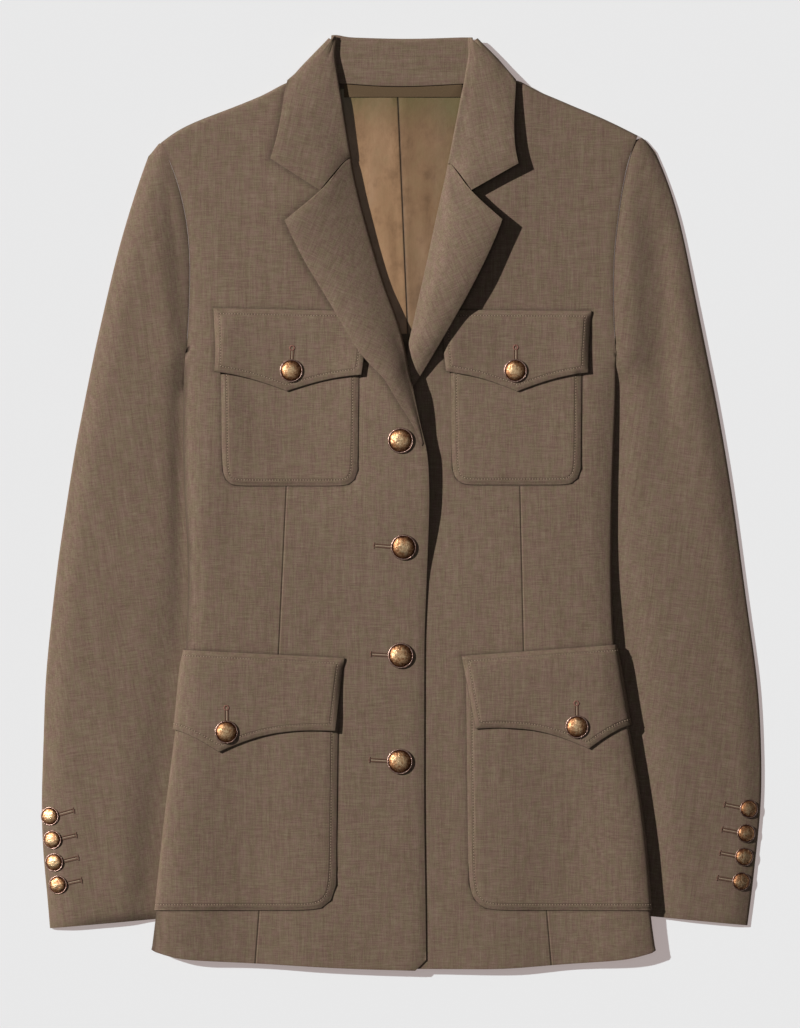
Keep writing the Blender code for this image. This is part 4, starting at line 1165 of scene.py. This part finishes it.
def add_button(name, metal, trees):
    """A domed button drawn down to the cloth by its thread."""
    low, high = (Vector(corner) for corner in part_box(name))
    radius = (high.y - low.y) / 2
    x, y = (low.x + high.x) / 2, (low.y + high.y) / 2
    level, normal = settle(trees, x, y, radius)
    bm = bmesh.new()
    wear = bm.verts.layers.float.new("worn")
    rim = bm.verts.layers.float.new("rim")
    rings = []
    for reach, height, shine, share in button_profile(radius):
        turns = [k * math.tau / BUTTON_SIDES for k in range(BUTTON_SIDES if reach else 1)]
        ring = [bm.verts.new((reach * math.cos(a), reach * math.sin(a), height)) for a in turns]
        for vert in ring:
            vert[wear] = shine
            vert[rim] = share
        rings.append(ring)
    for lower, upper in zip(rings, rings[1:]):
        for k in range(BUTTON_SIDES):
            after = (k + 1) % BUTTON_SIDES
            corners = [lower[k % len(lower)], lower[after % len(lower)], upper[after % len(upper)],
                       upper[k % len(upper)]]
            bm.faces.new(list(dict.fromkeys(corners)))
    bmesh.ops.recalc_face_normals(bm, faces=bm.faces)
    tilt = Vector((0, 0, 1)).rotation_difference(normal).to_matrix().to_4x4()
    bmesh.ops.transform(bm, matrix=Matrix.Translation((x, y, level)) @ tilt, verts=bm.verts)
    item = object_of(f"metal_{name}", bm)
    item.data.materials.append(metal)
    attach(item, "root")
    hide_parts(name)


def drop(tree, x, y):
    """Where a line straight down from above a place meets the cloth, and the cloth's direction there."""
    return tree.ray_cast(Vector((x, y, OVERHEAD * MM)), Vector((0, 0, -1)))[:2]


def settle(trees, x, y, radius):
    """Where a button lies on the cloth below it: the level of its plate, and its lean."""
    points = []
    for k in range(8):
        turn = k * math.tau / 8
        spot = (x + 0.8 * radius * math.cos(turn), y + 0.8 * radius * math.sin(turn))
        hits = [drop(tree, *spot)[0] for tree in trees]
        points.append(max((hit for hit in hits if hit is not None), key=lambda hit: hit.z))
    points = np.array([tuple(hit) for hit in points])
    around = np.c_[points[:, 0] - x, points[:, 1] - y, np.ones(len(points))]
    slope = np.linalg.lstsq(around, points[:, 2], rcond=None)[0]
    return slope[2] - BUTTON_SINK * MM, Vector((-slope[0], -slope[1], 1)).normalized()


# Buttonholes


def lines_of(hole):
    """Where a buttonhole starts and ends in plan, and the ways along and across it."""
    start, end = Vector((hole.x1, hole.y1)), Vector((hole.x2, hole.y2))
    along = (end - start).normalized()
    return start, end, along, Vector((-along.y, along.x))


def hole_path(hole):
    """The stitched edge of a buttonhole in plan: down one side, round its end and back."""
    start, end, along, side = lines_of(hole)
    length = (end - start).length
    steps = int(length / HOLE_STEP)
    reach = EYELET_GAP if hole.eyelet else HOLE_GAP
    middle = [start + along * (length - reach) * k / steps for k in range(steps + 1)]
    turn = []
    for k in range(1, 12):
        angle = math.pi * (0.5 - k / 12) * (1.25 if hole.eyelet else 1.0)
        turn.append(end - along * reach * 0.6 + (along * math.cos(angle) + side * math.sin(angle)) * reach)
    return ([place + side * HOLE_GAP for place in middle] + turn
            + [place - side * HOLE_GAP for place in reversed(middle)])


def lay_thread(bm, tree, path, radius, index):
    """A thread wound over the cloth along a path in plan, with the ridges of its turns."""
    rings = []
    for number, spot in enumerate(path):
        point, normal = drop(tree, spot.x * MM, spot.y * MM)
        ahead = path[min(number + 1, len(path) - 1)] - path[max(number - 1, 0)]
        side = normal.cross(Vector((ahead.x, ahead.y, 0)).normalized()).normalized()
        swell = radius * (1.0 + THREAD_RIDGE * (-1) ** number) * MM
        rings.append(ring_about(bm, point, side, normal, swell * THREAD_FLATNESS, swell, 6))
    for face in skin(bm, rings):
        face.material_index = index


def add_buttonhole(name, hole, tree, threads):
    """Two worked edges with the cloth showing between them, and a bar or a round eyelet at the end."""
    bm = bmesh.new()
    lay_thread(bm, tree, hole_path(hole), EDGE_THREAD, 0)
    start, end, along, side = lines_of(hole)
    if hole.eyelet:
        ring = [end - along * EYELET_BACK + (along * math.cos(a) + side * math.sin(a)) * EYELET
                for a in (k * math.tau / 18 for k in range(19))]
        lay_thread(bm, tree, ring, EYELET_THREAD, 2)
    else:
        bar = [end + side * (k / 8 - 0.5) * BAR_LENGTH for k in range(9)]
        lay_thread(bm, tree, bar, BAR_THREAD, 1)
    gimp = [start.lerp(end - along * GIMP_END, k / 30) for k in range(31)]
    lay_thread(bm, tree, gimp, GIMP_THREAD, 3)
    bmesh.ops.recalc_face_normals(bm, faces=bm.faces)
    item = object_of(f"buttonhole_{name}", bm)
    for thread in threads:
        item.data.materials.append(thread)
    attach(item, "root")
    return item


# Floor, light and camera


def add_floor():
    bm = bmesh.new()
    bmesh.ops.create_grid(bm, x_segments=1, y_segments=1, size=FLOOR_REACH)
    floor = object_of("floor", bm)
    floor.location.z = FLOOR_LEVEL * MM
    made = material("pale_floor")
    surface(made.node_tree, None, Base_Color=(*FLOOR, 1), Roughness=0.8, Specular_IOR_Level=0.0,
            Emission_Color=(*FLOOR_GLOW, 1), Emission_Strength=1.0)
    floor.data.materials.append(made)
    return floor


def travel_of(elevation):
    """The way that the light goes, at an elevation in degrees."""
    up, turn = math.radians(elevation), math.radians(SUN_TURN)
    return Vector((math.cos(up) * math.cos(turn), -math.cos(up) * math.sin(turn), -math.sin(up)))


def add_lamp(name, kind, power, lit):
    """A lamp that lights only the things given."""
    light = bpy.data.lights.new(name, kind)
    light.energy = power
    light.color = KEY_COLOUR
    lamp = new_object(name, light)
    group = bpy.data.collections.new(f"lit_by_{name}")
    for item in lit:
        group.objects.link(item)
    lamp.light_linking.receiver_collection = group
    return lamp


def add_lights(floor):
    """One lamp for the clothes, and one from higher up for the floor, so that the shadows on it are short."""
    clothes = [item for item in bpy.context.scene.objects if item.type == "MESH" and item != floor]
    travel = travel_of(FLOOR_SUN_ELEVATION)
    even = add_lamp("floor_key", "SUN", SUN_POWER * travel_of(SUN_ELEVATION).z / travel.z, [floor])
    even.data.angle = math.radians(FLOOR_SUN_SIZE)
    even.rotation_euler = travel.to_track_quat("-Z", "Y").to_euler()
    key = add_lamp("key", "POINT", SUN_POWER * 4 * math.pi * KEY_DISTANCE ** 2, clothes)
    key.data.shadow_soft_size = KEY_DISTANCE * math.tan(math.radians(SUN_SIZE / 2))
    key.location = -travel_of(SUN_ELEVATION) * KEY_DISTANCE
    box = bpy.data.lights.new("soft_box", "AREA")
    box.size = SOFT_BOX
    box.energy = SOFT_BOX_POWER
    new_object("soft_box", box).location.z = SOFT_BOX_HEIGHT
    world = bpy.data.worlds.new("studio")
    world.use_nodes = True
    sky = world.node_tree.nodes["Background"]
    sky.inputs[0].default_value = (*SKY, 1)
    sky.inputs[1].default_value = 1.0
    bpy.context.scene.world = world


def add_camera():
    camera = bpy.data.cameras.new("camera")
    camera.sensor_fit = "AUTO"
    camera.sensor_width = SENSOR
    camera.lens = SENSOR * CAMERA_HEIGHT / (IMAGE_HEIGHT * PIXEL)
    camera.clip_start, camera.clip_end = CLIP
    item = new_object("camera", camera)
    item.location = (CENTRE[0] * MM, CENTRE[1] * MM, CAMERA_HEIGHT * MM)
    bpy.context.scene.camera = item


def build():
    floor = add_floor()
    pick = cloth_materials()
    thread = plain_cloth("sewing_thread", THREAD)
    hole_threads = [plain_cloth(name, colour) for name, colour in HOLE_COLOURS.items()]
    metal = brass()
    cloths = shape_cloths()
    with_pieces = {}
    for name, item in cloths.items():
        dress_cloth(name, item, pick)
        stitched = name.startswith(STITCHED)
        with_pieces[name] = [add_stitches(f"stitches_{name}", item, thread)] if stitched else []
    trees = {name: surface_tree(cloths[name]) for name in HOLES}
    for piece, holes in HOLES.items():
        for name, ends in holes.items():
            hole = Hole(*ends, eyelet="flap" in piece)
            with_pieces[piece].append(add_buttonhole(name, hole, trees[piece], hole_threads))
    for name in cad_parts:
        if "button" in name:
            add_button(name, metal, list(trees.values()))
    for name, sheet in SHEETS.items():
        min(sheet.area, sheet.width * sheet.length)
        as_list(with_pieces[name])
    return floor


add_lights(build())
add_camera()
bpy.context.scene.view_settings.view_transform = "Standard"
